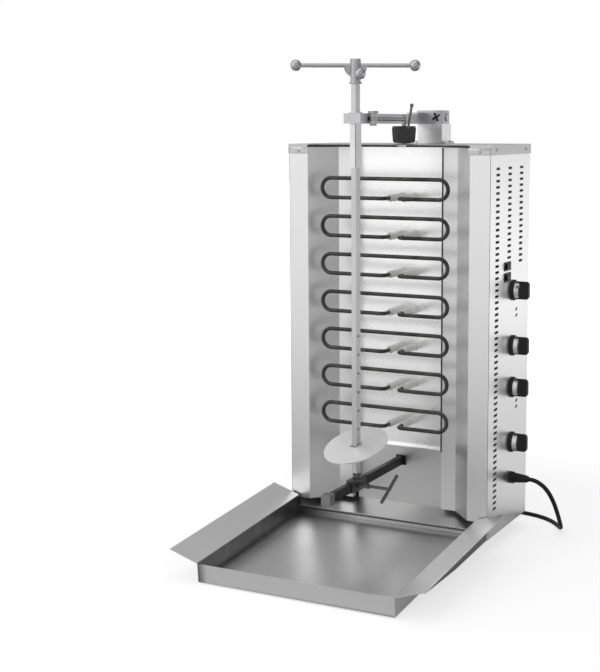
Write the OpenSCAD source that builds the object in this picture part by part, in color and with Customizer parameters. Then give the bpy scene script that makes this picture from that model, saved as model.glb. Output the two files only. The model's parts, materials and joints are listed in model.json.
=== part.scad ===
// Electric skewer grill: a free-standing vertical grill for meat on a turning spit.
// Millimetres, +Z up, front towards -Y. The origin lies on the table, below the middle of the machine.
// Inside the modules, y = 0 is the front face of the body and y grows towards its back.

/* [Body] */
// Width over the top cap
body_w = 450; // [400:5:520]
// Depth of the body, from the column faces to the rear panel
body_d = 230; // [225:1:300]
// Height from the underside of the base to the top of the cap
body_h = 790; // [760:1:900]
// Thickness of the body's sheet metal
sheet = 1.5; // [1:0.1:2]
// Height of the turned-down rim of the cap and of the base pan
rim_h = 20; // [12:1:24]
// Height of the feet
feet_h = 28; // [28:1:60]
// Largest diameter of a foot
foot_d = 40; // [20:1:45]

/* [Columns and reflectors] */
// Width of a column's front face
column_w = 44.5; // [30:0.5:60]
// Width of the slanted face beside it
flare_w = 46.5; // [30:0.5:60]
// Depth of the slanted face
flare_d = 50; // [40:1:52]
// Width of the flat strip at the back of the slant
strip_w = 33; // [20:0.5:45]
// Depth from the column faces to the back reflector
recess_d = 75; // [72:1:90]
// Height of the columns' lower ends above the base
column_lift = 37; // [30:1:60]
// Height of the reflector's lower edge above the base
ledge_h = 157; // [150:1:165]
// Depth of the reflector's folded ledge
ledge_d = 12; // [6:1:20]
// Slot under the cap in which the clamp's nut travels
cap_gap = 5; // [5:0.5:12]

/* [Heating elements] */
// Number of heating elements
element_count = 7;
// Height of the lowest element's middle above the base
element_first_h = 235; // [232:1:245]
// Distance from the top of the cap down to the highest element's middle
element_top_drop = 88.2; // [80:0.2:140]
// Length of an element from bend to bend
element_len = 287.6; // [220:0.2:290]
// Height of an element between the middles of its two runs
element_loop_h = 39.6; // [30:0.2:60]
// Diameter of the element's tube
element_d = 8; // [6:0.1:9]
// Distance of the elements in front of the column faces
element_out = 12; // [10:0.5:20]
// Place of an element's two legs, to the right of the middle
leg_x = 16; // [0:1:40]
// Distance between the two legs
leg_pitch = 30; // [26:1:60]

/* [Air slots] */
// Length of an air slot
slot_len = 20; // [10:1:26]
// Height of an air slot
slot_h = 4.5; // [3:0.1:6]
// Distance from one slot to the next
slot_pitch = 12.05; // [10:0.05:15]
// Distance from the cap's rim down to the first slots
slot_top_drop = 27; // [20:1:40]
// Height of the long column's last slot above the base
slot_foot_h = 56; // [40:1:120]
// Slots in each of the two short columns
short_slots = 17;
// Distance from the front edge to the long column of slots
slot_front = 42; // [36:1:48]
// Distance between the columns of slots
slot_column_pitch = 68; // [60:1:72]

/* [Spit] */
// Side of the square spit bar
bar = 12; // [10:0.1:13]
// Distance of the spit in front of the column faces
spit_out = 136; // [120:1:150]
// Turn of the spit about its own axis at rest
spit_turn = -18; // [-90:1:90]
// Height of the bar's lower shoulder above the base
bar_foot_h = 148; // [148:0.5:152]
// Height of the top of the handle's hub above the arm's cover
hub_rise = 102.5; // [90:0.5:150]
// Diameter of the meat plate
plate_d = 130; // [90:1:140]
// Thickness of the meat plate
plate_t = 2.5; // [1.5:0.1:3]
// Lean of the loose meat plate on its cross pin
plate_lean = 22; // [0:1:24]
// Square hole of the meat plate
plate_hole = 17; // [16.5:0.1:22]
// Diameter of the holes across the bar
bar_hole_d = 5.2; // [4:0.1:6]
// Distance between the holes across the bar
bar_hole_pitch = 37; // [25:1:38]
// Height of the lowest hole above the base
bar_hole_first_h = 199.5; // [198:0.5:210]
// Number of holes across the bar
bar_holes = 7;

/* [Spit handle] */
// Distance between the middles of the two balls
ball_pitch = 226; // [160:1:240]
// Diameter of a ball
ball_d = 21.5; // [14:0.5:26]
// Diameter of the handle bar
handle_d = 8; // [6:0.1:10]
// Diameter of the hub
hub_d = 21; // [20:0.5:30]
// Height of the hub
hub_h = 35; // [30:1:45]
// Radius of the half-round stiffener below the handle bar
cheek_r = 22.5; // [18:0.5:24]
// Thickness of the stiffener
cheek_t = 8; // [4:0.5:10]

/* [Drive arm] */
// Height of the arm's underside above the top cap
arm_lift = 41; // [40:0.5:60]
// Height of the arm without its cover
arm_h = 18; // [17:0.5:24]
// Width of the bearing block at the spit
block_w = 36; // [35:0.5:44]
// Length of the bearing block
block_l = 30; // [30:0.5:40]
// Width of the arm just behind the bearing block
arm_front_w = 33; // [32:0.5:35]
// Width of the arm at the motor
arm_rear_w = 24; // [22:0.5:30]
// Thickness of the arm's walls and cover
arm_wall = 1.5; // [1:0.1:2]
// Depth of the case over the motor
case_d = 52; // [44:1:54]
// Radius of the case's two outer corners
case_r = 14; // [6:0.5:20]
// Height of the case's raised lid above the arm's cover
lid_h = 9; // [5:0.5:12]
// Distance of the motor shaft behind the column faces
motor_y = 200; // [195:1:200]
// Side of the square sleeve that grips the spit
sleeve = 15.6; // [15:0.1:17]
// Length of the sleeve below the arm
sleeve_len = 84; // [50:1:110]
// Diameter of the sleeve's round journal
journal_d = 20; // [19.5:0.1:20.5]
// Outer diameter of the journal's two bushes
bush_d = 24; // [23:0.1:25]
// Diameter of the pulley on the sleeve
sleeve_pulley_d = 23; // [22:0.1:23.2]
// Diameter of the pulley on the motor
motor_pulley_d = 11.5; // [10:0.1:13]
// Width of the belt
belt_w = 6; // [5:0.1:6.5]
// Thickness of the belt
belt_t = 1.2; // [1:0.1:1.3]
// Travel of the arm, the motor and the spit's foot towards the front
slide_travel = 50; // [20:1:50]

/* [Motor box] */
// Width of the motor box
box_w = 56; // [54:1:60]
// Depth of the motor box
box_d = 50; // [40:1:50]
// Distance of the motor box's middle to the right of the motor shaft
box_x = 18; // [16:0.5:18]
// Width of its flange
flange_w = 72; // [72:1:90]
// Depth of its flange
flange_d = 54; // [50:1:56]
// Thickness of its flange
flange_t = 2; // [1.5:0.1:3]

/* [Clamp and lock] */
// Distance of the clamp behind the column faces
clamp_y = 84; // [84:1:90]
// Top diameter of the tapered clamp knob
clamp_top_d = 51; // [50:1:56]
// Bottom diameter of the tapered clamp knob
clamp_foot_d = 43; // [36:1:48]
// Diameter of the clamp's stud
stud_d = 10; // [8:0.5:12]
// Height of the clamp lever above the knob
clamp_lever_h = 48; // [40:1:60]
// Diameter of the clamp lever
clamp_lever_d = 5; // [4:0.1:6]
// Length of the arm's lock lever
lock_lever_len = 136; // [80:1:140]
// Diameter of the lock lever
lock_lever_d = 7; // [5:0.1:7.2]

/* [Foot rail] */
// Width of the rail, a flat bar on edge
rail_w = 10; // [8:0.5:11]
// Height of the rail
rail_h = 18; // [14:1:18]
// Height of the rail's underside above the base
rail_lift = 116; // [110:1:116]
// Reach of the rail in front of the column faces
rail_reach = 262; // [240:1:280]
// Width of the foot block that slides on the rail
foot_block_w = 14; // [13.5:0.5:20]
// Length of the foot block
foot_block_l = 60; // [40:1:64]
// Diameter of the cup on the foot block
foot_cup_d = 14; // [13:0.5:14]
// Diameter of the foot's clamp screw
foot_screw_d = 6; // [5:0.5:7]
// Distance of that screw's cross bar from the middle of the machine
foot_tbar_out = 72; // [60:1:80]
// Length of the cross bar
foot_tbar_len = 78; // [40:1:80]
// Slope of the cross bar at rest
foot_tbar_slope = 27; // [0:1:60]

/* [Drip tray] */
// Reach of the tray in front of the column faces
tray_reach = 391; // [340:1:420]
// Width of the tray's tub
tub_w = 409; // [370:1:430]
// Depth of the tub
tub_h = 36.4; // [25:0.1:40]
// Width of each wing, measured flat on the table
wing_w = 60.5; // [40:0.5:70]
// Rise of each wing over its width
wing_rise = 20; // [10:0.5:30]
// Height of the tub's rear wall
tray_back_h = 9; // [6:0.5:9]
// Slope of the tray towards its front
tray_slope = 4.6; // [2:0.1:5]
// Thickness of the tray's sheet metal
tray_sheet = 1; // [0.8:0.1:1.5]
// Gap between the tray's front edge and the table
tray_table_gap = 3; // [2:0.5:6]
// Distance that the tray pulls out
tray_travel = 250; // [100:10:300]

/* [Controls] */
// Distance of the knobs behind the column faces
knob_y = 137; // [132:1:150]
// Diameter of a knob's skirt
knob_d = 43; // [34:1:46]
// Reach of a knob from the side panel
knob_reach = 34; // [26:0.5:38]
// Width of a knob's grip
grip_w = 11; // [8:0.5:14]
// Heights of the four knobs above the base, as shares of the body's height
knob_height_shares = [0.6236, 0.4781, 0.3672, 0.2203];
// Length of a rocker switch's frame
rocker_l = 34; // [28:1:38]
// Height of a rocker switch's frame
rocker_h = 18; // [16:0.5:19]
// Height of the upper rocker switch above the base, as a share of the body's height
rocker_height_share = 0.69; // [0.68:0.005:0.71]
// Distance between the two rocker switches
rocker_pitch = 22; // [21:0.5:26]
// Distance of the rocker switches behind the column faces
rocker_y = 101; // [95:1:105]

/* [Mains cord] */
// Diameter of the mains cord
cord_d = 9; // [8:0.5:9]
// Height of the cord's exit above the base
cord_exit_h = 99; // [99:1:99]
// Length of the tapered strain relief
relief_len = 40; // [40:1:40]

/* [Hidden] */
$fn = 48;
// Running clearance of a shaft in its hole
run_gap = 0.05;
// Gap between pieces that slide past each other
slide_gap = 0.3;
// Overrun of every cut past the face that it opens
cut = 1;
// Shares of the body's depth at which feet and panel screws stand
depth_shares = [0.13, 0.87];

base_z = feet_h;
top_z = feet_h + body_h;
half_w = body_w / 2;
panel_x = half_w - sheet;
inner_x = panel_x - sheet;
screw_d = 7;
screw_head = 1.5;
front_shift = (tray_reach - body_d - screw_head) / 2;
under_cap_z = top_z - sheet;
column_x = half_w - sheet - column_w + sheet;
strip_x = column_x - flare_w;
reflector_x = strip_x - strip_w;
column_z = base_z + column_lift;
column_top_z = under_cap_z - cap_gap;
ledge_z = base_z + ledge_h;

element_r = element_loop_h / 2;
element_straight = element_len / 2 - element_d / 2 - element_r;
element_pitch = (body_h - element_top_drop - element_first_h) / (element_count - 1);
leg_bend = 10;
bush_len = 34;
bush_collar = 3;

arm_z = top_z + arm_lift;
arm_top_z = arm_z + arm_h;
cover_z = arm_top_z + arm_wall;
block_front = spit_out + block_l / 2;
block_rear = spit_out - block_l / 2;
bush_h = 4;
boss_wall = 1.2;
boss_d = bush_d + 2 * boss_wall;
pulley_h = 7;
pulley_z = arm_z + bush_h + slide_gap + (arm_h - 2 * bush_h - 2 * slide_gap - pulley_h) / 2;
journal_flange_d = journal_d + 5;
journal_flange_h = 2.5;
bar_play = 0.4;
bar_slot = bar + bar_play;
box_base_z = top_z + slide_gap;
belt_gap = 0.2;
motor_shaft_d = 8;
motor_body_d = 38;
motor_body_h = 26;

spit_foot_z = base_z + bar_foot_h;
hub_top_z = cover_z + hub_rise;
hub_z = hub_top_z - hub_h;
handle_z = hub_top_z - hub_h * 0.36;
tip_d = 8;
tip_len = 11;
pin_d = bar_hole_d - 2 * run_gap;
pin_len = 46;
pin_z = base_z + bar_hole_first_h;
plate_seat = pin_d / 2 + plate_t / 2 + slide_gap;

rail_z = base_z + rail_lift;
foot_block_top = spit_foot_z - 4;
foot_block_under = 2.5;
foot_block_over = 5;
foot_bush_d = 11;
foot_bush_flange = 3.7;
foot_bush_depth = 8.5;
foot_boss_d = 9;
foot_boss_reach = 24;
foot_screw_z = rail_z + rail_h * 0.42;
foot_tbar_d = 6.5;

steel = "silver";
polished = "gainsboro";
dark = [0.15, 0.15, 0.16];

// Helpers for bent sheet metal
function unit(v) = v / norm(v);
function left_of(v) = [-v[1], v[0]];
function heading(pts, i) = unit(pts[min(i + 1, len(pts) - 1)] - pts[min(i, len(pts) - 2)]);
function mitre(pts, i, d) =
    let (a = heading(pts, max(i - 1, 0)), b = heading(pts, i), m = unit(left_of(a) + left_of(b)))
    pts[i] + m * d / (m * left_of(a));
function sheet_outline(pts, d) =
    concat(pts, [for (i = [len(pts) - 1:-1:0]) mitre(pts, i, d)]);

// A prism of bent sheet: the path is the visible face, and d is the thickness to its left
module bent_sheet(pts, d, h) {
    linear_extrude(h) polygon(sheet_outline(pts, d));
}

// Puts a module drawn from the body's front face into the object's frame
module placed() {
    translate([0, front_shift, 0]) children();
}

// Puts an outline drawn in depth and height across the machine, w wide, starting at x
module across(x, w) {
    translate([x, 0, 0]) rotate([90, 0, 90]) linear_extrude(w) children();
}

// Moves a child to the spit's axis and turns it as the spit stands at rest
module on_spit() {
    translate([0, -spit_out, 0]) rotate([0, 0, spit_turn]) children();
}

// Height of the tray's own level z_local at the depth y
function tray_z(y, z_local) =
    tray_table_gap + z_local / cos(tray_slope) + (y + tray_reach) * tan(tray_slope);

// BODY
arm_side_reach = 300;
arm_side_step = 160;
arm_side_drop = 9;
wing_under = tub_h + wing_rise * (inner_x - sheet - tub_w / 2) / wing_w - 1.1 * slide_gap;

// The pan's side rim runs on in front of the body and carries the tray's wing
module base_side() {
    polygon([
        [body_d - sheet, base_z], [body_d - sheet, base_z + rim_h], [0, base_z + rim_h],
        [0, tray_z(0, wing_under)],
        [-arm_side_reach, tray_z(-arm_side_reach, wing_under)],
        [-arm_side_reach, base_z - arm_side_drop],
        [-arm_side_step, base_z - arm_side_drop],
        [0, base_z]
    ]);
}

module base_frame() color(steel) placed() {
    translate([-inner_x, 0, base_z]) cube([2 * inner_x, body_d - sheet, sheet]);
    translate([-inner_x, 0, base_z]) cube([2 * inner_x, sheet, rim_h]);
    translate([-inner_x, body_d - 2 * sheet, base_z]) cube([2 * inner_x, sheet, rim_h]);
    across(inner_x - sheet, sheet) base_side();
    across(-inner_x, sheet) base_side();
}

module feet() color(dark) placed()
    for (x = [-1, 1] * (inner_x - 1.2 * foot_d), y = depth_shares * body_d)
        translate([x, y, 0]) cylinder(h = feet_h, d1 = foot_d * 0.8, d2 = foot_d);

// One air slot with round ends, drawn flat
module air_slot() {
    square([slot_len - slot_h, slot_h], center = true);
    for (s = [-1, 1]) translate([s * (slot_len - slot_h) / 2, 0]) circle(d = slot_h, $fn = 16);
}

slot_top_z = top_z - rim_h - slot_top_drop;
long_slots = 1 + floor((slot_top_z - base_z - slot_foot_h) / slot_pitch);

// The field of air slots in a side panel, drawn in depth and height
module slot_field() {
    for (i = [0:long_slots - 1]) translate([slot_front, slot_top_z - i * slot_pitch]) air_slot();
    for (c = [1, 2], i = [0:short_slots - 1])
        translate([slot_front + c * slot_column_pitch, slot_top_z - i * slot_pitch]) air_slot();
}

knob_shaft_d = 6;
knob_zs = [for (share = knob_height_shares) base_z + share * body_h];
rocker_zs = [base_z + rocker_height_share * body_h, base_z + rocker_height_share * body_h - rocker_pitch];
rocker_lip = 2;
gland_z = base_z + cord_exit_h;
gland_y = 134;
gland_d = 16;

module panel_outline() {
    translate([0, base_z]) square([body_d, body_h - sheet]);
}

module side_panel_right() color(steel) placed() across(inner_x, sheet) difference() {
    panel_outline();
    slot_field();
    for (z = knob_zs) translate([knob_y, z]) circle(d = 2 * knob_shaft_d);
    for (z = rocker_zs) translate([rocker_y, z])
        square([rocker_l - 2 * rocker_lip, rocker_h - 2 * rocker_lip], center = true);
    translate([gland_y, gland_z]) circle(d = gland_d);
}

module side_panel_left() color(steel) placed() across(-panel_x, sheet) difference() {
    panel_outline();
    slot_field();
}

rear_slots = 12;
rear_slot_columns = 4;
module rear_panel() color(steel) placed()
    translate([0, body_d, 0]) rotate([90, 0, 0]) linear_extrude(sheet) difference() {
        translate([-inner_x, base_z]) square([2 * inner_x, body_h - sheet]);
        for (c = [0:rear_slot_columns - 1], i = [0:rear_slots - 1], low = [0, 1])
            translate([(c - (rear_slot_columns - 1) / 2) * slot_column_pitch,
                       slot_top_z - i * slot_pitch - low * body_h * 0.68]) air_slot();
    }

stud_slot_w = stud_d + 1;
slide_screw_d = 4;
slide_slot_w = slide_screw_d + 1;
slide_head_d = 7;
slide_screw_x = (box_w + slide_head_d) / 2 + 1.5 * slide_gap;
slide_screw_ys = [motor_y - flange_d / 2 + 1.5 * slide_screw_d, motor_y + flange_d / 2 - 1.5 * slide_screw_d];

// A slot along the depth with round ends, cut from y0 to y1
module long_slot(x, y0, y1, w) {
    translate([x - w / 2, y0]) square([w, y1 - y0]);
    for (y = [y0, y1]) translate([x, y]) circle(d = w);
}

module top_plate() color(steel) placed() {
    translate([0, 0, under_cap_z]) linear_extrude(sheet) difference() {
        translate([-half_w, -sheet]) square([body_w, body_d + sheet]);
        long_slot(0, clamp_y - slide_travel - cut, clamp_y + cut, stud_slot_w);
        for (s = [-1, 1])
            long_slot(box_x + s * slide_screw_x, slide_screw_ys[0] - slide_travel - cut, slide_screw_ys[1] + cut,
                      slide_slot_w);
    }
    for (s = [0, 1]) mirror([s, 0, 0]) {
        translate([panel_x, -sheet, top_z - rim_h]) cube([sheet, body_d + sheet, rim_h]);
        translate([column_x, -sheet, top_z - rim_h / 2]) cube([half_w - column_x, sheet, rim_h / 2]);
    }
}

column_return = 30;
column_path = [
    [inner_x, column_return], [inner_x, 0], [column_x, 0], [strip_x, flare_d],
    [reflector_x + sheet, flare_d], [reflector_x + sheet, flare_d + ledge_d]
];

module column_shape() {
    translate([0, 0, column_z]) bent_sheet(column_path, -sheet, column_top_z - column_z);
}

module column_right() color(polished) placed() column_shape();
module column_left() color(polished) placed() mirror([1, 0, 0]) column_shape();

element_zs = [for (i = [element_count - 1:-1:0]) base_z + element_first_h + i * element_pitch];
leg_xs = [leg_x - leg_pitch / 2, leg_x + leg_pitch / 2];
bush_shank_d = 12;
bush_collar_d = 18;

// A shallow pan between the columns: back wall, side returns and the folded ledge below
module back_reflector() color(polished) placed() difference() {
    union() {
        translate([0, 0, ledge_z]) bent_sheet([
            [-reflector_x, flare_d + sheet], [-reflector_x, recess_d],
            [reflector_x, recess_d], [reflector_x, flare_d + sheet]
        ], sheet, column_top_z - ledge_z);
        translate([-reflector_x, recess_d - ledge_d, ledge_z])
            cube([2 * reflector_x, ledge_d, sheet]);
    }
    for (x = leg_xs, z = element_zs)
        translate([x, recess_d + 2 * cut, z - element_r]) rotate([90, 0, 0])
            cylinder(h = 4 * cut, d = bush_shank_d);
}

apron_out = 8;
apron_front_z = base_z + rim_h + 1.5 * sheet;
apron_rear_z = column_z - 4 * sheet;
apron_half_w = inner_x - sheet - slide_gap;
lip_half_w = tub_w / 2 - 2 * tray_sheet;
// Kick panel under the ledge, with the apron that leads the fat into the tray. Its lip, in front of the
// columns, passes between the walls of the tray's tub
module lower_panel() color(steel) placed() difference() {
    union() {
        across(-reflector_x, 2 * reflector_x) polygon(sheet_outline([
            [recess_d - ledge_d, ledge_z - sheet], [recess_d, ledge_z - sheet],
            [recess_d, apron_rear_z], [-apron_out, apron_front_z]
        ], sheet));
        across(-apron_half_w, 2 * apron_half_w) polygon(sheet_outline([
            [recess_d, apron_rear_z], [-apron_out, apron_front_z]
        ], sheet));
    }
    translate([0, recess_d + 2 * cut, rail_z + rail_h / 2]) rotate([90, 0, 0])
        for (s = [-1, 1]) translate([s * rail_bolt_x, 0, 0])
            cylinder(h = 4 * cut, d = rail_bolt_d + 2 * run_gap);
    for (x = [-apron_half_w - cut, lip_half_w]) translate([x, -2 * apron_out, base_z])
        cube([apron_half_w + cut - lip_half_w, 2 * apron_out, column_lift]);
}

// A straight piece of element tube along X
module tube_x(x0, x1) {
    translate([x0, 0, 0]) rotate([0, 90, 0]) cylinder(h = x1 - x0, d = element_d, $fn = 24);
}

// The round end of an element's loop
module element_end() {
    rotate([90, 0, 0]) rotate([0, 0, -90]) rotate_extrude(angle = 180, $fn = 40)
        translate([element_r, 0]) circle(d = element_d, $fn = 24);
}

// A leg: a quarter bend out of the lower run, then straight back through its bush
module element_leg(side) {
    leg_y = leg_bend;
    mirror([side < 0 ? 1 : 0, 0, 0]) {
        translate([leg_bend, leg_y, 0]) rotate([0, 0, 180]) rotate_extrude(angle = 90, $fn = 40)
            translate([leg_bend, 0]) circle(d = element_d, $fn = 24);
        translate([0, leg_y, 0]) rotate([-90, 0, 0])
            cylinder(h = recess_d + element_out - leg_y + ledge_d, d = element_d, $fn = 24);
    }
}

module heating_element(i) color([0.2, 0.19, 0.19]) placed()
    translate([0, -element_out, element_zs[i]]) {
        translate([0, 0, element_r]) tube_x(-element_straight, element_straight);
        translate([0, 0, -element_r]) {
            tube_x(-element_straight, leg_xs[0] - leg_bend);
            tube_x(leg_xs[1] + leg_bend, element_straight);
            translate([leg_xs[0], 0, 0]) element_leg(-1);
            translate([leg_xs[1], 0, 0]) element_leg(1);
        }
        translate([element_straight, 0, 0]) element_end();
        translate([-element_straight, 0, 0]) mirror([1, 0, 0]) element_end();
    }

module heating_element_1() heating_element(0);
module heating_element_2() heating_element(1);
module heating_element_3() heating_element(2);
module heating_element_4() heating_element(3);
module heating_element_5() heating_element(4);
module heating_element_6() heating_element(5);
module heating_element_7() heating_element(6);

// A ceramic bush: a shank through the reflector with a collar in front of it
module element_bush() {
    bore = element_d / 2 + slide_gap / 2;
    rotate([90, 0, 0]) rotate_extrude($fn = 32) polygon([
        [bore, -bush_collar], [bush_shank_d / 2 - slide_gap, -bush_collar],
        [bush_shank_d / 2 - slide_gap, 0], [bush_collar_d / 2, 0], [bush_collar_d / 2, bush_collar],
        [bush_shank_d / 2, bush_collar], [bush_shank_d / 2, bush_len - bush_collar],
        [bore, bush_len - bush_collar]
    ]);
}

module element_bushes() color("ivory") placed()
    for (x = leg_xs, z = element_zs) translate([x, recess_d, z - element_r]) element_bush();

// CONTROLS ON THE RIGHT SIDE
switch_w = 40;
switch_d = 36;

module switch_bodies() color(dark) placed()
    for (z = knob_zs) translate([inner_x - switch_d, knob_y, z]) difference() {
        translate([0, -switch_w / 2, -switch_w / 2]) cube([switch_d, switch_w, switch_w]);
        translate([switch_d / 2, 0, 0]) rotate([0, 90, 0])
            cylinder(h = switch_d, d = knob_shaft_d + 2 * run_gap);
    }

rocker_opening = [rocker_l - 3 * rocker_lip, rocker_h - 3 * rocker_lip];
rocker_body_d = 22;

// Frame on the panel and hollow body behind it
module rocker_housings() color(dark) placed()
    for (z = rocker_zs) translate([panel_x, rocker_y, z]) rotate([90, 0, 90]) difference() {
        union() {
            linear_extrude(rocker_lip) square([rocker_l, rocker_h], center = true);
            translate([0, 0, -rocker_body_d]) linear_extrude(rocker_body_d)
                square([rocker_l - 2 * rocker_lip - slide_gap, rocker_h - 2 * rocker_lip - slide_gap],
                       center = true);
        }
        translate([0, 0, -rocker_body_d / 2]) linear_extrude(rocker_body_d)
            square(rocker_opening, center = true);
    }

rocker_tilt = 6;
rocker_pivot_in = 2;
rocker_crown = 4;

rocker_barrel_r = 5.5;
// A rocker button with its two finger faces and its pivot barrel, pressed down at the front end
module rocker(i) color([0.1, 0.1, 0.1]) placed()
    translate([panel_x - rocker_pivot_in, rocker_y, rocker_zs[i]]) rotate([0, 0, rocker_tilt]) {
        half = rocker_opening[0] / 2 - 2 * slide_gap;
        high = rocker_opening[1] / 2 - slide_gap;
        translate([0, 0, -high]) linear_extrude(2 * high) polygon([
            [-rocker_crown, -half * 0.6], [rocker_pivot_in + rocker_crown, -half],
            [rocker_pivot_in + rocker_lip, 0], [rocker_pivot_in + rocker_crown, half],
            [-rocker_crown, half * 0.6]
        ]);
        translate([0, 0, -high]) cylinder(h = 2 * high, r = rocker_barrel_r);
    }

module rocker_1() rocker(0);
module rocker_2() rocker(1);

knob_skirt_h = 6;
knob_gap = 0.6;
knob_hub_d = knob_d * 0.76;

// Skirt, tapered hub and bar grip of a rotary knob, with its shaft through the panel
module knob(i) color(dark) placed()
    translate([panel_x + knob_gap, knob_y, knob_zs[i]]) rotate([90, 0, 90]) {
        cylinder(h = knob_skirt_h * 0.5, d = knob_d);
        translate([0, 0, knob_skirt_h * 0.5]) cylinder(h = knob_skirt_h * 0.5, d1 = knob_d, d2 = knob_d * 0.92);
        translate([0, 0, knob_skirt_h]) cylinder(h = knob_reach * 0.25, d1 = knob_hub_d, d2 = knob_hub_d * 0.9);
        translate([0, 0, knob_skirt_h]) linear_extrude(knob_reach - knob_skirt_h) intersection() {
            square([grip_w, knob_d * 0.86], center = true);
            circle(d = knob_d * 0.86);
        }
        translate([0, 0, -knob_gap - switch_d / 4]) cylinder(h = knob_gap + switch_d / 4, d = knob_shaft_d);
    }

module knob_1() knob(0);
module knob_2() knob(1);
module knob_3() knob(2);
module knob_4() knob(3);

nut_d = 26;
nut_h = 9;
relief_tip_d = cord_d + 4;
// Six-sided nut and tapered strain relief around the mains cord
module cable_gland() color(dark) placed()
    translate([panel_x, gland_y, gland_z]) rotate([0, 90, 0]) difference() {
        union() {
            cylinder(h = nut_h, d = nut_d, $fn = 6);
            translate([0, 0, nut_h]) cylinder(h = relief_len - nut_h, d1 = nut_d * 0.75, d2 = relief_tip_d);
            translate([0, 0, -nut_h]) cylinder(h = nut_h, d = gland_d - 2 * run_gap);
        }
        translate([0, 0, -nut_h - cut]) cylinder(h = relief_len + nut_h + 2 * cut, d = cord_d + 2 * run_gap);
    }

terminal = [60, 24, 30];
module terminal_block() color("beige") placed() translate([inner_x - terminal[0] * 1.5, body_d - sheet - terminal[1], base_z + rim_h])
    difference() {
        cube(terminal);
        for (i = [1:4]) translate([i * terminal[0] / 5, -cut, terminal[2] / 2]) rotate([-90, 0, 0])
            cylinder(h = terminal[1] / 2, d = terminal[0] / 10);
    }

module screw_head_x(y, z) {
    for (s = [0, 1]) mirror([s, 0, 0]) translate([half_w, y, z]) rotate([0, 90, 0])
        cylinder(h = screw_head, d1 = screw_d, d2 = screw_d * 0.8, $fn = 24);
}

rear_screw_shares = [0.03, 0.5, 0.98];
// Heads of the screws that hold the cap, the columns and the rear panel
module panel_screws() color("gray") placed() {
    for (y = depth_shares * body_d) screw_head_x(y, top_z - rim_h / 2);
    for (s = [-1, 1]) translate([s * (column_x + column_w / 2), 0, top_z - rim_h]) rotate([90, 0, 0])
        cylinder(h = screw_head, d1 = screw_d, d2 = screw_d * 0.8, $fn = 24);
    for (x = [-1, 0, 1] * (inner_x - screw_d), share = rear_screw_shares)
        translate([x, body_d, base_z + share * body_h]) rotate([-90, 0, 0])
            cylinder(h = screw_head, d1 = screw_d, d2 = screw_d * 0.8, $fn = 24);
}

// FOOT RAIL
rail_bolt_d = 4;
rail_bolt_x = 0.8 * rail_w;
rail_plate_w = 2.2 * rail_w;

module rail() color(dark) placed() {
    translate([-rail_w / 2, -rail_reach, rail_z]) cube([rail_w, rail_reach + recess_d, rail_h]);
    translate([-rail_plate_w / 2, recess_d - 2 * sheet, rail_z - sheet])
        cube([rail_plate_w, 2 * sheet, rail_h + 2 * sheet]);
    for (s = [-1, 1]) translate([s * rail_bolt_x, recess_d - 3 * sheet, rail_z + rail_h / 2])
        rotate([-90, 0, 0]) cylinder(h = 7 * sheet, d = rail_bolt_d);
}

end_block = [19, 21, 20.5];
end_block_nose = 3.5;
module rail_end_block() color("gray") placed()
    translate([0, -rail_reach, rail_z + rail_h / 2]) difference() {
        translate([-end_block[0] / 2, -end_block_nose, -end_block[2] / 2]) cube(end_block);
        translate([-rail_w / 2, 0, -rail_h / 2]) cube([rail_w, end_block[1], rail_h]);
    }

foot_block_y = -spit_out - foot_block_l / 2;

// Block that slides on the rail, with the cup of the spit's thrust bush and the boss of its clamp screw
module foot_block() color("gray") placed() difference() {
    union() {
        translate([-foot_block_w / 2, foot_block_y, rail_z - foot_block_under])
            cube([foot_block_w, foot_block_l, rail_h + foot_block_under + foot_block_over]);
        translate([0, -spit_out, rail_z + rail_h])
            cylinder(h = foot_block_top - rail_z - rail_h, d = foot_cup_d);
        translate([0, -spit_out, foot_screw_z]) rotate([0, 90, 0])
            cylinder(h = foot_boss_reach, d = foot_boss_d);
    }
    translate([-rail_w / 2 - slide_gap, foot_block_y - cut, rail_z - slide_gap])
        cube([rail_w + 2 * slide_gap, foot_block_l + 2 * cut, rail_h + 2 * slide_gap]);
    translate([0, -spit_out, foot_block_top - foot_bush_depth])
        cylinder(h = foot_bush_depth + cut, d = foot_bush_d);
    translate([0, -spit_out, foot_screw_z]) rotate([0, 90, 0])
        cylinder(h = foot_boss_reach + cut, d = foot_screw_d + 2 * run_gap);
}

module foot_bush() color("goldenrod") placed()
    translate([0, -spit_out, foot_block_top - foot_bush_depth]) difference() {
        union() {
            cylinder(h = foot_bush_depth, d = foot_bush_d);
            translate([0, 0, foot_bush_depth]) cylinder(h = foot_bush_flange, d = foot_cup_d + 1);
        }
        translate([0, 0, foot_bush_depth + foot_bush_flange - tip_len - slide_gap])
            cylinder(h = tip_len + cut, d = tip_d + 2 * run_gap);
    }

foot_screw_x = rail_w / 2 + 2 * slide_gap;
foot_collar_d = 10;
foot_collar_l = 4;
foot_tbar_neck_d = 4;

// Screw that clamps the foot block to the rail
module foot_screw() color(steel) placed() translate([0, -spit_out, foot_screw_z]) rotate([0, 90, 0]) difference() {
    union() {
        translate([0, 0, foot_screw_x])
            cylinder(h = foot_tbar_out + foot_tbar_d / 2 - foot_screw_x, d = foot_screw_d);
        translate([0, 0, foot_boss_reach + slide_gap]) cylinder(h = foot_collar_l, d = foot_collar_d);
    }
    translate([0, 0, foot_tbar_out]) rotate([0, 0, foot_tbar_slope]) rotate([90, 0, 0])
        cylinder(h = 2 * foot_screw_d, d = foot_tbar_neck_d, center = true);
}

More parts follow.
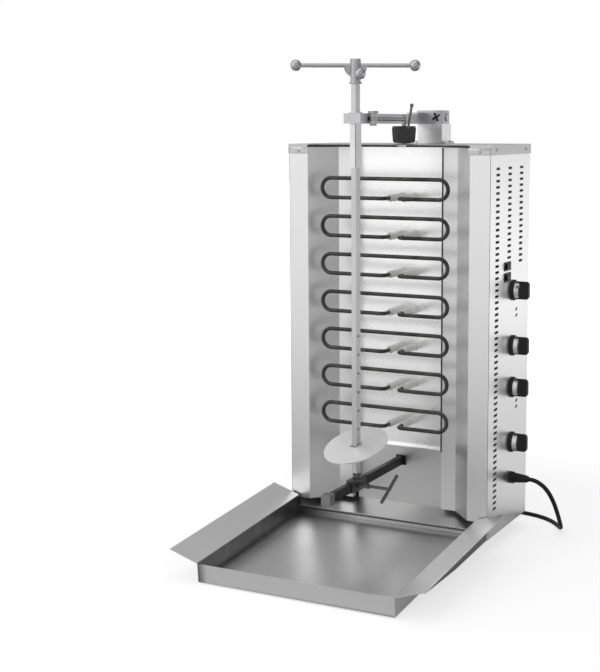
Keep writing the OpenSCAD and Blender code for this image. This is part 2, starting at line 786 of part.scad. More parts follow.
// Cross bar through the clamp screw, thicker on both sides of it
module foot_tbar() color(steel) placed() translate([foot_tbar_out, -spit_out, foot_screw_z])
    rotate([0, 90, 0]) rotate([0, 0, foot_tbar_slope]) rotate([90, 0, 0]) {
        cylinder(h = 2 * foot_screw_d, d = foot_tbar_neck_d, center = true);
        for (s = [0, 1]) mirror([0, 0, s]) translate([0, 0, foot_screw_d / 2 + slide_gap])
            cylinder(h = foot_tbar_len / 2 - foot_screw_d / 2 - slide_gap, d = foot_tbar_d);
    }

// UPPER UNIT: MOTOR, ARM AND BELT
module motor_box() color(steel) placed() translate([box_x, motor_y, 0]) {
    box_h = arm_z - box_base_z - flange_t;
    difference() {
        translate([-flange_w / 2, -flange_d / 2, box_base_z]) cube([flange_w, flange_d, flange_t]);
        translate([-box_w / 2 + arm_wall, -box_d / 2 + arm_wall, box_base_z - cut])
            cube([box_w - 2 * arm_wall, box_d - 2 * arm_wall, flange_t + 2 * cut]);
        for (x = [-1, 1] * slide_screw_x, y = slide_screw_ys)
            translate([x, y - motor_y, box_base_z - cut]) cylinder(h = flange_t + 2 * cut, d = slide_screw_d);
    }
    difference() {
        translate([-box_w / 2, -box_d / 2, box_base_z + flange_t]) cube([box_w, box_d, box_h]);
        translate([-box_w / 2 + arm_wall, -box_d / 2 + arm_wall, box_base_z + flange_t - cut])
            cube([box_w - 2 * arm_wall, box_d - 2 * arm_wall, box_h - arm_wall + cut]);
        translate([-box_x, 0, arm_z - 2 * arm_wall]) cylinder(h = 3 * arm_wall, d = motor_shaft_d * 1.5);
    }
}

gear_plate = [50, 38, 8];
motor_top_z = arm_z - arm_wall;
motor_shaft_z = motor_top_z - gear_plate[2] + slide_gap;
// Small gear motor hung under the roof of the motor box, with its shaft beside its middle
module gear_motor() color([0.35, 0.35, 0.37]) placed() translate([0, motor_y, 0]) difference() {
    translate([box_x, 0, 0]) {
        translate([-gear_plate[0] / 2, -gear_plate[1] / 2, motor_top_z - gear_plate[2]]) cube(gear_plate);
        translate([0, 0, motor_top_z - gear_plate[2] - motor_body_h]) cylinder(h = motor_body_h, d = motor_body_d);
    }
    translate([0, 0, motor_top_z - gear_plate[2]])
        cylinder(h = gear_plate[2] + cut, d = motor_shaft_d + 2 * run_gap);
}

case_right = box_x + box_w / 2;
// Outline of the case over the motor, drawn in by inset, with two round outer corners
module case_outline(inset) {
    translate([-arm_rear_w / 2 + inset, motor_y - case_d / 2 + inset])
        square([case_right - case_r + arm_rear_w / 2 - inset, case_d - 2 * inset]);
    translate([case_right - 2 * case_r, motor_y - case_d / 2 + case_r])
        square([2 * case_r - inset, case_d - 2 * case_r]);
    for (s = [-1, 1]) translate([case_right - case_r, motor_y + s * (case_d / 2 - case_r)])
        circle(r = case_r - inset);
}

// Outline of the arm, drawn in by inset: bearing block, tapered belt case and motor case
module arm_outline(inset) {
    translate([-block_w / 2 + inset, -block_front + inset]) square([block_w - 2 * inset, block_l - 2 * inset]);
    polygon([
        [-arm_front_w / 2 + inset, -block_rear - 2 * inset], [arm_front_w / 2 - inset, -block_rear - 2 * inset],
        [arm_rear_w / 2 - inset, motor_y], [-arm_rear_w / 2 + inset, motor_y]
    ]);
    case_outline(inset);
}

lug_x = 24;
lug_d = 15;
lug_y = -109;
lug_h = 5;
lock_pin_d = 7;

// Ear beside the arm that carries the lock lever's pin
module lug(z) {
    translate([0, 0, z]) linear_extrude(lug_h) difference() {
        union() {
            translate([lug_x, lug_y]) circle(d = lug_d);
            translate([arm_front_w / 2 - arm_wall, lug_y - lug_d / 2]) square([lug_x - arm_front_w / 2 + arm_wall, lug_d]);
        }
        translate([lug_x, lug_y]) circle(d = lock_pin_d + 2 * run_gap);
    }
}

module arm_housing() color(steel) placed() {
    difference() {
        union() {
            difference() {
                translate([0, 0, arm_z]) linear_extrude(arm_h) arm_outline(0);
                translate([0, 0, arm_z + arm_wall]) linear_extrude(arm_h) arm_outline(arm_wall);
            }
            translate([0, -spit_out, arm_z]) cylinder(h = bush_h, d = boss_d);
        }
        translate([0, -spit_out, arm_z - cut]) cylinder(h = bush_h + 2 * cut, d = bush_d);
        translate([0, motor_y, arm_z - cut]) cylinder(h = arm_wall + 2 * cut, d = motor_shaft_d * 1.5);
    }
    lug(arm_z);
    lug(arm_top_z - lug_h);
}

bridge_l = 50;
bridge_h = 4;
lid_step = 1.5;
// Flat cover with the raised lid over the motor and a low bridge in front of it
module arm_cover() color(steel) placed() {
    difference() {
        union() {
            translate([0, 0, arm_top_z]) linear_extrude(arm_wall) arm_outline(0);
            translate([0, -spit_out, cover_z - bush_h - arm_wall]) cylinder(h = bush_h, d = boss_d);
        }
        translate([0, -spit_out, arm_top_z - bush_h - cut]) cylinder(h = bush_h + arm_wall + 2 * cut, d = bush_d);
        translate([0, 0, arm_top_z - cut]) linear_extrude(arm_wall + 2 * cut) case_outline(2 * arm_wall);
    }
    translate([0, 0, cover_z]) difference() {
        union() {
            linear_extrude(lid_h - lid_step) case_outline(0);
            linear_extrude(lid_h) case_outline(lid_step);
        }
        translate([0, 0, -cut]) linear_extrude(lid_h - arm_wall + cut) case_outline(2 * arm_wall);
    }
    translate([-arm_rear_w / 2, motor_y - case_d / 2 - bridge_l, cover_z]) cube([arm_rear_w, bridge_l, bridge_h]);
}

// The two plain bushes of the sleeve's journal
module quill_bushes() color("goldenrod") placed() translate([0, -spit_out, 0])
    for (z = [arm_z, arm_top_z - bush_h + arm_wall]) translate([0, 0, z]) difference() {
        cylinder(h = bush_h, d = bush_d);
        translate([0, 0, -cut]) cylinder(h = bush_h + 2 * cut, d = journal_d + 2 * run_gap);
    }

belt_span = motor_y + spit_out;
// Outline around both pulleys, g outside them, with its straight runs along the common tangents
module belt_outline(g) {
    ra = sleeve_pulley_d / 2 + g;
    rb = motor_pulley_d / 2 + g;
    lean = asin((ra - rb) / belt_span);
    circle(r = ra);
    translate([0, belt_span]) circle(r = rb);
    polygon([
        [ra * cos(lean), ra * sin(lean)], [rb * cos(lean), belt_span + rb * sin(lean)],
        [-rb * cos(lean), belt_span + rb * sin(lean)], [-ra * cos(lean), ra * sin(lean)]
    ]);
}

module drive_belt() color([0.12, 0.12, 0.12]) placed()
    translate([0, -spit_out, pulley_z + (pulley_h - belt_w) / 2]) linear_extrude(belt_w) difference() {
        belt_outline(belt_gap + belt_t);
        belt_outline(belt_gap);
    }

nut_under_d = 20;
nut_under_z = under_cap_z - cap_gap + 2 * slide_gap;
clamp_base_z = top_z + 2 * slide_gap;
clamp_knob_z = top_z + 2;
clamp_knob_top_z = arm_z - 10;

// Stud under the arm with its square nut below the cap
module clamp_stud() color(steel) placed() translate([0, clamp_y, 0]) {
    translate([0, 0, nut_under_z]) cylinder(h = arm_z - nut_under_z, d = stud_d);
    translate([-nut_under_d / 2, -nut_under_d / 2, nut_under_z])
        cube([nut_under_d, nut_under_d, under_cap_z - slide_gap - nut_under_z]);
}

// Tapered clamp knob with a flat foot
module clamp_knob() color(dark) placed() translate([0, clamp_y, 0]) rotate_extrude() polygon([
    [stud_d / 2 + run_gap, clamp_base_z], [clamp_foot_d * 0.3, clamp_base_z],
    [clamp_foot_d * 0.3, clamp_knob_z], [clamp_foot_d / 2, clamp_knob_z],
    [clamp_top_d / 2 - slide_gap, clamp_knob_top_z - 2], [clamp_top_d / 2 - 2 * slide_gap, clamp_knob_top_z],
    [stud_d / 2 + run_gap, clamp_knob_top_z]
]);

clamp_lever_r = 22.5;
clamp_lever_angle = -43;
clamp_lever_ball_d = 8;
clamp_lever_lean = 10;
// Lever on the clamp knob, leaning to the right above its thicker foot
module clamp_lever() color(dark) placed() translate([0, clamp_y, clamp_knob_top_z])
    rotate([0, 0, clamp_lever_angle]) translate([clamp_lever_r, 0, 0]) {
        cylinder(h = clamp_lever_d, d = clamp_lever_d * 1.3);
        rod_z = clamp_lever_d * 0.4;
        translate([0, 0, rod_z]) rotate([0, 0, -clamp_lever_angle]) rotate([0, clamp_lever_lean, 0]) {
            cylinder(h = clamp_lever_h - rod_z, d = clamp_lever_d);
            translate([0, 0, clamp_lever_h - rod_z]) sphere(d = clamp_lever_ball_d);
        }
    }

// Shoulder screws of the motor box, with nuts under the cap
module slide_screws() color("gray") placed()
    for (s = [-1, 1], y = slide_screw_ys) translate([box_x + s * slide_screw_x, y, 0]) {
        translate([0, 0, box_base_z + flange_t]) cylinder(h = slide_screw_d * 0.7, d = slide_head_d, $fn = 24);
        translate([0, 0, under_cap_z - slide_screw_d]) cylinder(h = box_base_z + flange_t - under_cap_z + slide_screw_d, d = slide_screw_d);
        translate([0, 0, under_cap_z - slide_gap - slide_screw_d]) cylinder(h = slide_screw_d, d = 2 * slide_screw_d, $fn = 6);
    }

lock_cap_d = 21;
// Pin of the lock lever, with a broad cap above and a nut below
module lock_pin() color("gray") placed() translate([lug_x, lug_y, 0]) {
    translate([0, 0, arm_z - 4]) cylinder(h = 4, d = lug_d, $fn = 6);
    translate([0, 0, arm_z]) cylinder(h = arm_h, d = lock_pin_d);
    translate([0, 0, arm_top_z]) cylinder(h = 2, d = lug_d);
    translate([0, 0, arm_top_z + 2]) cylinder(h = 4, d1 = lock_cap_d, d2 = lock_cap_d * 0.9);
}

lock_ring_h = arm_h - 2 * lug_h - 2 * slide_gap;
// Lever on that pin, lying along the arm
module lock_lever() color("gray") placed()
    translate([lug_x, lug_y, arm_z + lug_h + slide_gap]) difference() {
        union() {
            cylinder(h = lock_ring_h, d = lug_d);
            translate([0, 0, lock_ring_h / 2]) rotate([-90, 0, 0])
                cylinder(h = lock_lever_len, d = lock_lever_d);
            translate([0, lock_lever_len, lock_ring_h / 2]) sphere(d = lock_lever_d * 1.2, $fn = 24);
        }
        translate([0, 0, -cut]) cylinder(h = lock_ring_h + 2 * cut, d = lock_pin_d + 2 * run_gap);
    }

// QUILL: THE SLEEVE THAT TURNS THE SPIT
module quill() color("gray") placed() on_spit() difference() {
    union() {
        translate([-sleeve / 2, -sleeve / 2, arm_z - sleeve_len]) cube([sleeve, sleeve, sleeve_len - slide_gap]);
        translate([0, 0, arm_z - slide_gap]) cylinder(h = cover_z - arm_z + 3 * slide_gap, d = journal_d);
        translate([0, 0, cover_z + slide_gap]) cylinder(h = journal_flange_h, d = journal_flange_d);
    }
    translate([-bar_slot / 2, -bar_slot / 2, arm_z - sleeve_len - cut])
        cube([bar_slot, bar_slot, sleeve_len + 2 * arm_h]);
}

// A pulley with a flange on each side of the belt's track
module pulley(d, bore) {
    difference() {
        cylinder(h = pulley_h, d = d);
        translate([0, 0, -cut]) cylinder(h = pulley_h + 2 * cut, d = bore);
    }
}

module quill_pulley() color("lightgray") placed() translate([0, -spit_out, pulley_z])
    pulley(sleeve_pulley_d, journal_d);

module motor_pulley() color("lightgray") placed() translate([0, motor_y, 0]) {
    translate([0, 0, pulley_z]) cylinder(h = pulley_h, d = motor_pulley_d);
    translate([0, 0, motor_shaft_z]) cylinder(h = pulley_z - motor_shaft_z, d = motor_shaft_d);
}

// SPIT
module bar_cross_hole(z) {
    translate([0, 0, z]) rotate([0, 90, 0]) cylinder(h = 2 * bar, d = bar_hole_d, center = true, $fn = 32);
}

socket_h = hub_h * 0.34;
module spit_bar() color(steel) placed() on_spit() difference() {
    union() {
        translate([-bar / 2, -bar / 2, spit_foot_z]) cube([bar, bar, hub_z + socket_h - spit_foot_z]);
        translate([0, 0, spit_foot_z - tip_len]) cylinder(h = tip_len, d = tip_d);
    }
    for (i = [0:bar_holes - 1]) bar_cross_hole(pin_z + i * bar_hole_pitch);
}

handle_turn = 45;
collar_d = 20;
collar_drop = 12;
// Hub with its socket for the bar, a half-round stiffener and a thin lower collar
module handle_hub() color(polished) placed() on_spit() difference() {
    union() {
        translate([0, 0, hub_z]) cylinder(h = hub_h - 2, d = hub_d);
        translate([0, 0, hub_top_z - 2]) cylinder(h = 2, d1 = hub_d, d2 = hub_d * 0.8);
        translate([0, 0, hub_z - collar_drop]) cylinder(h = collar_drop * 0.6, d = collar_d);
        translate([0, 0, hub_z - collar_drop * 0.4]) cylinder(h = collar_drop * 0.4, d = hub_d * 0.92);
        rotate([0, 0, handle_turn]) intersection() {
            translate([0, cheek_t / 2, handle_z]) rotate([90, 0, 0]) cylinder(h = cheek_t, r = cheek_r);
            translate([-cheek_r, -cheek_t, handle_z - cheek_r]) cube([2 * cheek_r, 2 * cheek_t, cheek_r]);
        }
    }
    translate([-bar / 2, -bar / 2, hub_z - collar_drop - cut]) cube([bar, bar, collar_drop + socket_h + cut]);
    translate([0, 0, handle_z]) rotate([0, 0, handle_turn]) rotate([0, 90, 0])
        cylinder(h = 2 * cheek_r + 2 * cut, d = handle_d, center = true);
}

// Cross handle with its two ball ends
module handle_bar() color(polished) placed() on_spit() translate([0, 0, handle_z]) rotate([0, 0, handle_turn]) {
    rotate([0, 90, 0]) cylinder(h = ball_pitch - ball_d / 2, d = handle_d, center = true);
    for (s = [-1, 1]) translate([s * ball_pitch / 2, 0, 0]) sphere(d = ball_d, $fn = 40);
}

// Round plate with a wide square hole, leaning on its cross pin
module meat_plate() color("whitesmoke") placed() on_spit() translate([0, 0, pin_z]) rotate([plate_lean, 0, 0])
    translate([0, 0, plate_seat]) difference() {
        translate([0, 0, -plate_t / 2]) cylinder(h = plate_t, d = plate_d, $fn = 96);
        translate([-plate_hole / 2, -plate_hole / 2, -plate_t]) cube([plate_hole, plate_hole, 2 * plate_t]);
    }

module plate_pin() color(steel) placed() on_spit() translate([0, 0, pin_z]) rotate([0, 90, 0])
    cylinder(h = pin_len, d = pin_d, center = true, $fn = 32);

// DRIP TRAY
wing_edge = tub_w / 2 + wing_w;
tray_profile = [
    [-wing_edge, tub_h + wing_rise], [-tub_w / 2, tub_h], [-tub_w / 2, 0],
    [tub_w / 2, 0], [tub_w / 2, tub_h], [wing_edge, tub_h + wing_rise]
];
tray_gap = 2;
tray_len = (tray_reach - tray_gap) / cos(tray_slope);

// Bent from one sheet: tub, two raised wings, a front wall and a low rear wall
module drip_tray() color(steel) placed()
    translate([0, -tray_reach, tray_table_gap]) rotate([tray_slope, 0, 0]) {
        translate([0, tray_len, 0]) rotate([90, 0, 0]) bent_sheet(tray_profile, tray_sheet, tray_len);
        translate([-tub_w / 2, 0, 0]) cube([tub_w, tray_sheet, tub_h]);
        translate([-tub_w / 2, tray_len - tray_sheet, 0]) cube([tub_w, tray_sheet, tray_back_h]);
    }

// MAINS CORD
// Route of the free stretch: x, depth and height, in millimetres from the front face and the table
cord_route = [
    [263.5, 134, 127], [275, 134, 126], [286, 134, 122], [297, 134, 115], [306, 135, 105],
    [313, 138, 92], [318, 143, 77], [321, 150, 61], [322, 160, 45], [321, 173, 30],
    [318, 188, 18], [312, 205, 10], [303, 223, 5.5], [290, 241, 4.5], [273, 258, 4.5],
    [252, 272, 4.5], [228, 282, 4.5], [200, 288, 4.5], [170, 290, 4.5], [140, 290, 4.5],
    [110, 290, 4.5], [80, 290, 4.5]
];
// Route of the short lead from the coil down to the plug
lead_route = [
    [9, 410.775, 14], [20, 410.8, 14], [30, 410.8, 13.5], [40, 410.8, 12.2], [52, 410.8, 10.4], [64, 410.8, 9.3],
    [76, 410.8, 9], [88, 410.8, 9]
];
coil_x = 0;
coil_y = 350.4;
coil_inner_r = 39;
coil_pitch = cord_d + 0.5;
coil_turns = 4.5;
coil_low_z = 4.5;
coil_rings = 24;
cord_sides = 8;
coil_sides = 6;

function clamp01(v) = max(0, min(1, v));
function smooth(v) = v * v * (3 - 2 * v);
// Middle line of the coil: in for two and a quarter turns, up a layer, and out again above
function coil_radius(u) = coil_inner_r + coil_pitch * abs(u - coil_turns / 2);
function coil_point(u) =
    let (a = -90 - 360 * u, r = coil_radius(u))
    [coil_x + r * cos(a), coil_y + r * sin(a),
     coil_low_z + coil_pitch * smooth(clamp01((u - coil_turns / 2 + 0.25) / 0.5))];
coil_steps = coil_turns * coil_rings;
coil_start = coil_point(0);
coil_end = coil_point(coil_turns);
coil_line = concat(
    [cord_route[len(cord_route) - 1]], [[coil_start[0] + cord_d, coil_start[1], coil_start[2]]],
    [for (i = [0:coil_steps]) coil_point(i / coil_rings)],
    [[coil_end[0] + cord_d, coil_end[1], coil_end[2]]]
);

// Rings of a tube along a line of points, each ring square to the line there
function tangent(line, i) = unit(line[min(i + 1, len(line) - 1)] - line[max(i - 1, 0)]);
function ring(line, i, r, sides) =
    let (t = tangent(line, i), side = unit(cross(abs(t[2]) > 0.9 ? [1, 0, 0] : [0, 0, 1], t)), up = cross(t, side))
    [for (k = [0:sides - 1]) line[i] + r * (cos(360 * k / sides) * side + sin(360 * k / sides) * up)];
module tube_along(line, r, sides) {
    n = len(line);
    points = [for (i = [0:n - 1]) each ring(line, i, r, sides)];
    walls = [for (i = [0:n - 2], k = [0:sides - 1]) each
        let (a = i * sides + k, b = i * sides + (k + 1) % sides)
        [[a, a + sides, b + sides], [a, b + sides, b]]];
    front_cap = [for (k = [1:sides - 2]) [0, k, k + 1]];
    back_cap = [for (k = [1:sides - 2]) [(n - 1) * sides, (n - 1) * sides + k + 1, (n - 1) * sides + k]];
    polyhedron(points, concat(walls, front_cap, back_cap));
}

// Least gap between turns of the coil, measured between middle points that lie a turn apart or more
coil_gap = min([for (i = [0:coil_steps - coil_rings * 0.75]) min([for (j = [i + coil_rings * 0.75:coil_steps])
    norm(coil_point(i / coil_rings) - coil_point(j / coil_rings))])]) - cord_d;
echo(least_gap_between_turns = coil_gap);

module power_cord() color(dark) placed() tube_along(cord_route, cord_d / 2, cord_sides);
module cord_coil() color(dark) placed() tube_along(coil_line, cord_d / 2, coil_sides);
module cord_lead() color(dark) placed() tube_along(lead_route, cord_d / 2, cord_sides);

plug_d = 34;
plug_len = 44;
plug_h = 18;
plug_pin_d = 4.8;
plug_pin_len = 19;
// Moulded plug, flattened above and below, with two round pins
module plug() color(dark) placed() translate(lead_route[len(lead_route) - 1]) rotate([90, 0, 90]) {
    intersection() {
        union() {
            cylinder(h = plug_len * 0.4, d1 = cord_d * 1.4, d2 = plug_d * 0.8);
            translate([0, 0, plug_len * 0.4]) cylinder(h = plug_len * 0.6, d = plug_d);
        }
        translate([-plug_d / 2, -plug_h / 2, 0]) cube([plug_d, plug_h, plug_len]);
    }
    for (s = [-1, 1]) translate([s * plug_pin_len / 2, 0, plug_len])
        cylinder(h = plug_pin_len, d = plug_pin_d, $fn = 24);
}

base_frame();
feet();
side_panel_right();
side_panel_left();
rear_panel();
top_plate();
column_right();
column_left();
back_reflector();
lower_panel();
heating_element_1();
heating_element_2();
heating_element_3();
heating_element_4();
heating_element_5();
heating_element_6();
heating_element_7();
element_bushes();
switch_bodies();
rocker_housings();
cable_gland();
terminal_block();
panel_screws();
rail();
rail_end_block();
power_cord();
cord_coil();
cord_lead();
plug();
motor_box();
gear_motor();
arm_housing();
arm_cover();
quill_bushes();
drive_belt();
clamp_stud();
slide_screws();
lock_pin();
lock_lever();
quill();
quill_pulley();
motor_pulley();
spit_bar();
handle_hub();
handle_bar();
meat_plate();
plate_pin();
foot_block();
foot_bush();
foot_screw();
foot_tbar();
clamp_knob();
clamp_lever();
drip_tray();
knob_1();
knob_2();
knob_3();
knob_4();
rocker_1();
rocker_2();
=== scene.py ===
import bmesh
import bpy
import json
import math
from mathutils import Matrix, Vector


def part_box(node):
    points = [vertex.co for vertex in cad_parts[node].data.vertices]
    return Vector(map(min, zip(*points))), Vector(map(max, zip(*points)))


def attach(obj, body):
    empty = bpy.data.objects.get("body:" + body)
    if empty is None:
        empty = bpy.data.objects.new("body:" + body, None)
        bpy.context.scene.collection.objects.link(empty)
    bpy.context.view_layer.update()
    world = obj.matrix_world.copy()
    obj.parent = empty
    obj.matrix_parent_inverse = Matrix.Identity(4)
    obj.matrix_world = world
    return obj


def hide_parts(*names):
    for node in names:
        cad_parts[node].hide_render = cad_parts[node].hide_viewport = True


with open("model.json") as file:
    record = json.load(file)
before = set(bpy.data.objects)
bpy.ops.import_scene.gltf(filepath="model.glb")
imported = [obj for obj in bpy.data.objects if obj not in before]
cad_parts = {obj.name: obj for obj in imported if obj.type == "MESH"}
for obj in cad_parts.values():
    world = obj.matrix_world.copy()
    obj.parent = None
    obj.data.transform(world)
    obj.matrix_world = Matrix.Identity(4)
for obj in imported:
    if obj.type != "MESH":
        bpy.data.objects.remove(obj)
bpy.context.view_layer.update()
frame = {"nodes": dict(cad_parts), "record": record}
scene = bpy.context.scene
nodes = frame["nodes"]

# The machine's own depths are written from the body's front face, this far behind the frame's middle
frontFace = 0.07975
quarterTurn = math.pi / 2


# From the machine's own millimetres to the frame's metres
def place(x, depth, height):
    return Vector((x / 1000, depth / 1000 + frontFace, height / 1000))


# Camera, as far off and as high as the photographer stood
cameraView = {
    "position": (1122.04, -2345.08, 852.9),
    "turn": 25.92,
    "dip": 7.27,
    "lens": 69.04,
    "sensor": 36,
    "shift": (-0.1167, -0.0666),
    "reach": 20,
}


def setCamera(view):
    data = bpy.data.cameras.new("photoCamera")
    data.lens = view["lens"]
    data.sensor_width = view["sensor"]
    data.shift_x, data.shift_y = view["shift"]
    data.clip_end = view["reach"]
    camera = bpy.data.objects.new("photoCamera", data)
    camera.location = place(*view["position"])
    camera.rotation_euler = (math.radians(90 - view["dip"]), 0, math.radians(view["turn"]))
    scene.collection.objects.link(camera)
    scene.camera = camera


setCamera(cameraView)
print("camera set")


# Node maths: a Wire wraps a socket, so an expression on wires adds its Math nodes
class Wire:
    def __init__(self, graph, node, output=0):
        self.graph = graph
        self.maker = node
        self.socket = node.outputs[output]

    def at(self, output):
        return Wire(self.graph, self.maker, output)

    def maths(self, operation, *others):
        return self.graph.maths(operation, self, *others)

    def __add__(self, other):
        return self.maths("ADD", other)

    def __mul__(self, other):
        return self.maths("MULTIPLY", other)

    def __sub__(self, other):
        return self.maths("SUBTRACT", other)

    def __rsub__(self, other):
        return self.graph.maths("SUBTRACT", other, self)

    def __truediv__(self, other):
        return self.maths("DIVIDE", other)

    __radd__ = __add__
    __rmul__ = __mul__


# What shader trees and Geometry Nodes trees share: one call makes, sets and joins any node
class Graph:
    def node(self, kind, settings=None, values=None):
        made = self.tree.nodes.new(kind)
        for key, value in (settings or {}).items():
            setattr(made, key, value)
        for key, value in (values or {}).items():
            self.feed(made.inputs[key], value)
        return Wire(self, made)

    def maths(self, operation, *values):
        return self.node("ShaderNodeMath", {"operation": operation}, dict(enumerate(values)))

    def feed(self, socket, value):
        if isinstance(value, Wire):
            self.tree.links.new(value.socket, socket)
        elif isinstance(value, tuple) and len(value) == 3 and len(socket.default_value) == 4:
            socket.default_value = (*value, 1)
        else:
            socket.default_value = value

    def split(self, vector):
        return self.node("ShaderNodeSeparateXYZ", None, {0: vector})


class Finish(Graph):
    inputNames = {"colour": "Base Color", "roughness": "Roughness", "metallic": "Metallic",
                  "normal": "Normal", "specular": "Specular IOR Level"}
    # Most values of a noise lie inside this span
    noiseSpan = (0.3, 0.7)

    def __init__(self, name):
        self.material = bpy.data.materials.new(name)
        self.material.use_nodes = True
        self.tree = self.material.node_tree
        self.tree.nodes.clear()
        self.shader = self.tree.nodes.new("ShaderNodeBsdfPrincipled")
        end = self.tree.nodes.new("ShaderNodeOutputMaterial")
        self.tree.links.new(self.shader.outputs[0], end.inputs[0])
        self.coordinates = self.node("ShaderNodeTexCoord").at("Object")

    def noise(self, scale, stretch=(1, 1, 1), detail=3, roughness=0.5):
        spot = self.node("ShaderNodeMapping", None, {"Vector": self.coordinates, "Scale": stretch})
        return self.node("ShaderNodeTexNoise", None,
                         {"Vector": spot, "Scale": scale, "Detail": detail, "Roughness": roughness})

    def range(self, wire, low, high, newLow, newHigh):
        return self.node("ShaderNodeMapRange", None, {0: wire, 1: low, 2: high, 3: newLow, 4: newHigh})

    def stretched(self, wire, low=0, high=1):
        return self.range(wire, *self.noiseSpan, low, high)

    def mix(self, factor, first, second):
        made = self.node("ShaderNodeMix", {"data_type": "RGBA"}, {0: factor, 6: first, 7: second})
        return made.at(2)

    def bump(self, height, depth, strength):
        return self.node("ShaderNodeBump", None,
                         {"Height": height, "Distance": depth, "Strength": strength})

    def set(self, **values):
        for key, value in values.items():
            self.feed(self.shader.inputs[self.inputNames[key]], value)
        return self.material


# Brushed or plain steel sheet: fine streaks along one axis, cloudy handling marks, a faint grain
sheetSteels = {
    "sideSteel": {"tone": 0.90, "along": (60, 60, 1.2), "rough": (0.30, 0.36), "streak": 0.03},
    "rearSteel": {"tone": 0.72, "along": (60, 60, 1.2), "rough": (0.34, 0.44), "streak": 0.03},
    # The cap's tone, lower than the other sheets', is painted shade
    "topSteel": {"tone": 0.50, "along": (1.2, 60, 60), "rough": (0.20, 0.28), "streak": 0.03},
    "columnSteel": {"tone": 0.73, "along": (60, 60, 1.0), "rough": (0.31, 0.37), "streak": 0.02},
    "reflectorSteel": {"tone": 0.97, "along": (40, 40, 1.0), "rough": (0.25, 0.29), "streak": 0.015},
    "kickSteel": {"tone": 0.58, "along": (1.2, 50, 50), "rough": (0.30, 0.38), "streak": 0.03},
    "baseSteel": {"tone": 0.27, "along": (1.2, 50, 50), "rough": (0.32, 0.42), "streak": 0.03},
    "traySteel": {"tone": 0.86, "along": (60, 1.2, 60), "rough": (0.30, 0.38), "streak": 0.025},
    "plateSteel": {"tone": 0.80, "along": (30, 30, 30), "rough": (0.50, 0.58), "streak": 0.02},
    "lipSteel": {"tone": 0.72, "along": (60, 60, 1.2), "rough": (0.30, 0.36), "streak": 0.02},
    "dialSteel": {"tone": 0.80, "along": (60, 60, 60), "rough": (0.26, 0.34), "streak": 0.02},
}
sheetGrain = {
    "lines": {"scale": 9, "detail": 4, "roughness": 0.6},
    "clouds": {"scale": 7, "detail": 3, "roughness": 0.55},
    "smears": {"scale": 26, "stretch": (1, 1, 0.5), "detail": 2, "roughness": 0.5},
    "cloudShare": 0.8,
    "wearShares": (0.15, 0.55, 0.3),
    "darkTint": (0.995, 1.0, 1.0),
    "paleTint": (1.0, 0.998, 0.992),
    "depth": 0.00002,
    "strength": 0.10,
}

# Painted shade on the tray's left wall, in the corner behind it and, thinner, along its rear end. Here and
# below, a pair of places is where a change starts and where it is full
trayPaintedShade = {
    "edge": {"scale": 30, "detail": 3, "roughness": 0.6},
    "wallEdge": 0.012,
    "cornerEdge": 0.03,
    "wallInside": (-0.186, -0.2035),
    "wallOutside": (-0.2047, -0.2052),
    "cornerDepth": (-0.02, 0.055),
    "cornerSide": (-0.06, -0.17),
    "rearShare": 0.45,
    "strength": 0.85,
    "tint": 0.14,
}

# The tray's floor rises from its front edge. It is darker than the walls, and towards its right darker still:
# painted shade
trayFloor = {
    "frontEdge": -0.31125,
    "frontHeight": 0.003,
    "slope": 0.08046,
    "above": (0.0016, 0.0045),
    "sides": (0.2025, 0.2035),
    "across": (-0.19, 0.19),
    "tintsAndShade": (0.74, 0.52),
}


def grey(tone):
    return (tone,) * 3


# The tray's painted shade on its left wall, in the corner behind it and along its rear end, over the floor's
# tints
def trayTintAndShade(finish, colour):
    spot = finish.split(finish.coordinates)
    ragged = finish.noise(**trayPaintedShade["edge"]) - 0.5
    wall = finish.range(spot + ragged * trayPaintedShade["wallEdge"], *trayPaintedShade["wallInside"], 0.0, 1.0)
    outer = ragged * trayPaintedShade["cornerEdge"]
    corner = finish.range(spot.at(1) + outer, *trayPaintedShade["cornerDepth"], 0.0, 1.0)
    corner = corner * finish.range(spot + outer, *trayPaintedShade["cornerSide"], trayPaintedShade["rearShare"], 1.0)
    inside = finish.range(spot, *trayPaintedShade["wallOutside"], 1.0, 0.0)
    factor = wall.maths("MAXIMUM", corner) * inside * trayPaintedShade["strength"]
    floorLevel = (spot.at(1) - trayFloor["frontEdge"]) * trayFloor["slope"] + trayFloor["frontHeight"]
    onFloor = finish.range(spot.at(2) - floorLevel, *trayFloor["above"], 1.0, 0.0)
    onFloor = onFloor * finish.range(spot.maths("ABSOLUTE"), *trayFloor["sides"], 1.0, 0.0)
    # The floor's tints: darker than the walls, with painted shade growing towards its right
    left, right = trayFloor["tintsAndShade"]
    floorTintAndShade = finish.mix(finish.range(spot, *trayFloor["across"], 0.0, 1.0), grey(left), grey(right))
    # The dark grey mixed in here is painted shade
    return finish.mix(factor, finish.mix(onFloor, colour, floorTintAndShade), grey(trayPaintedShade["tint"]))


# The cap's front edge over the opening is darker from the heat that rises past it
heatMark = {"depth": (0.0795, 0.081), "side": (0.174, 0.178), "tint": 0.25}


def heated(finish, colour):
    spot = finish.split(finish.coordinates)
    factor = finish.range(spot.at(1), *heatMark["depth"], 1.0, 0.0)
    factor = factor * finish.range(spot.maths("ABSOLUTE"), *heatMark["side"], 1.0, 0.0)
    return finish.mix(factor, colour, grey(heatMark["tint"]))


extraLook = {"traySteel": trayTintAndShade, "topSteel": heated}


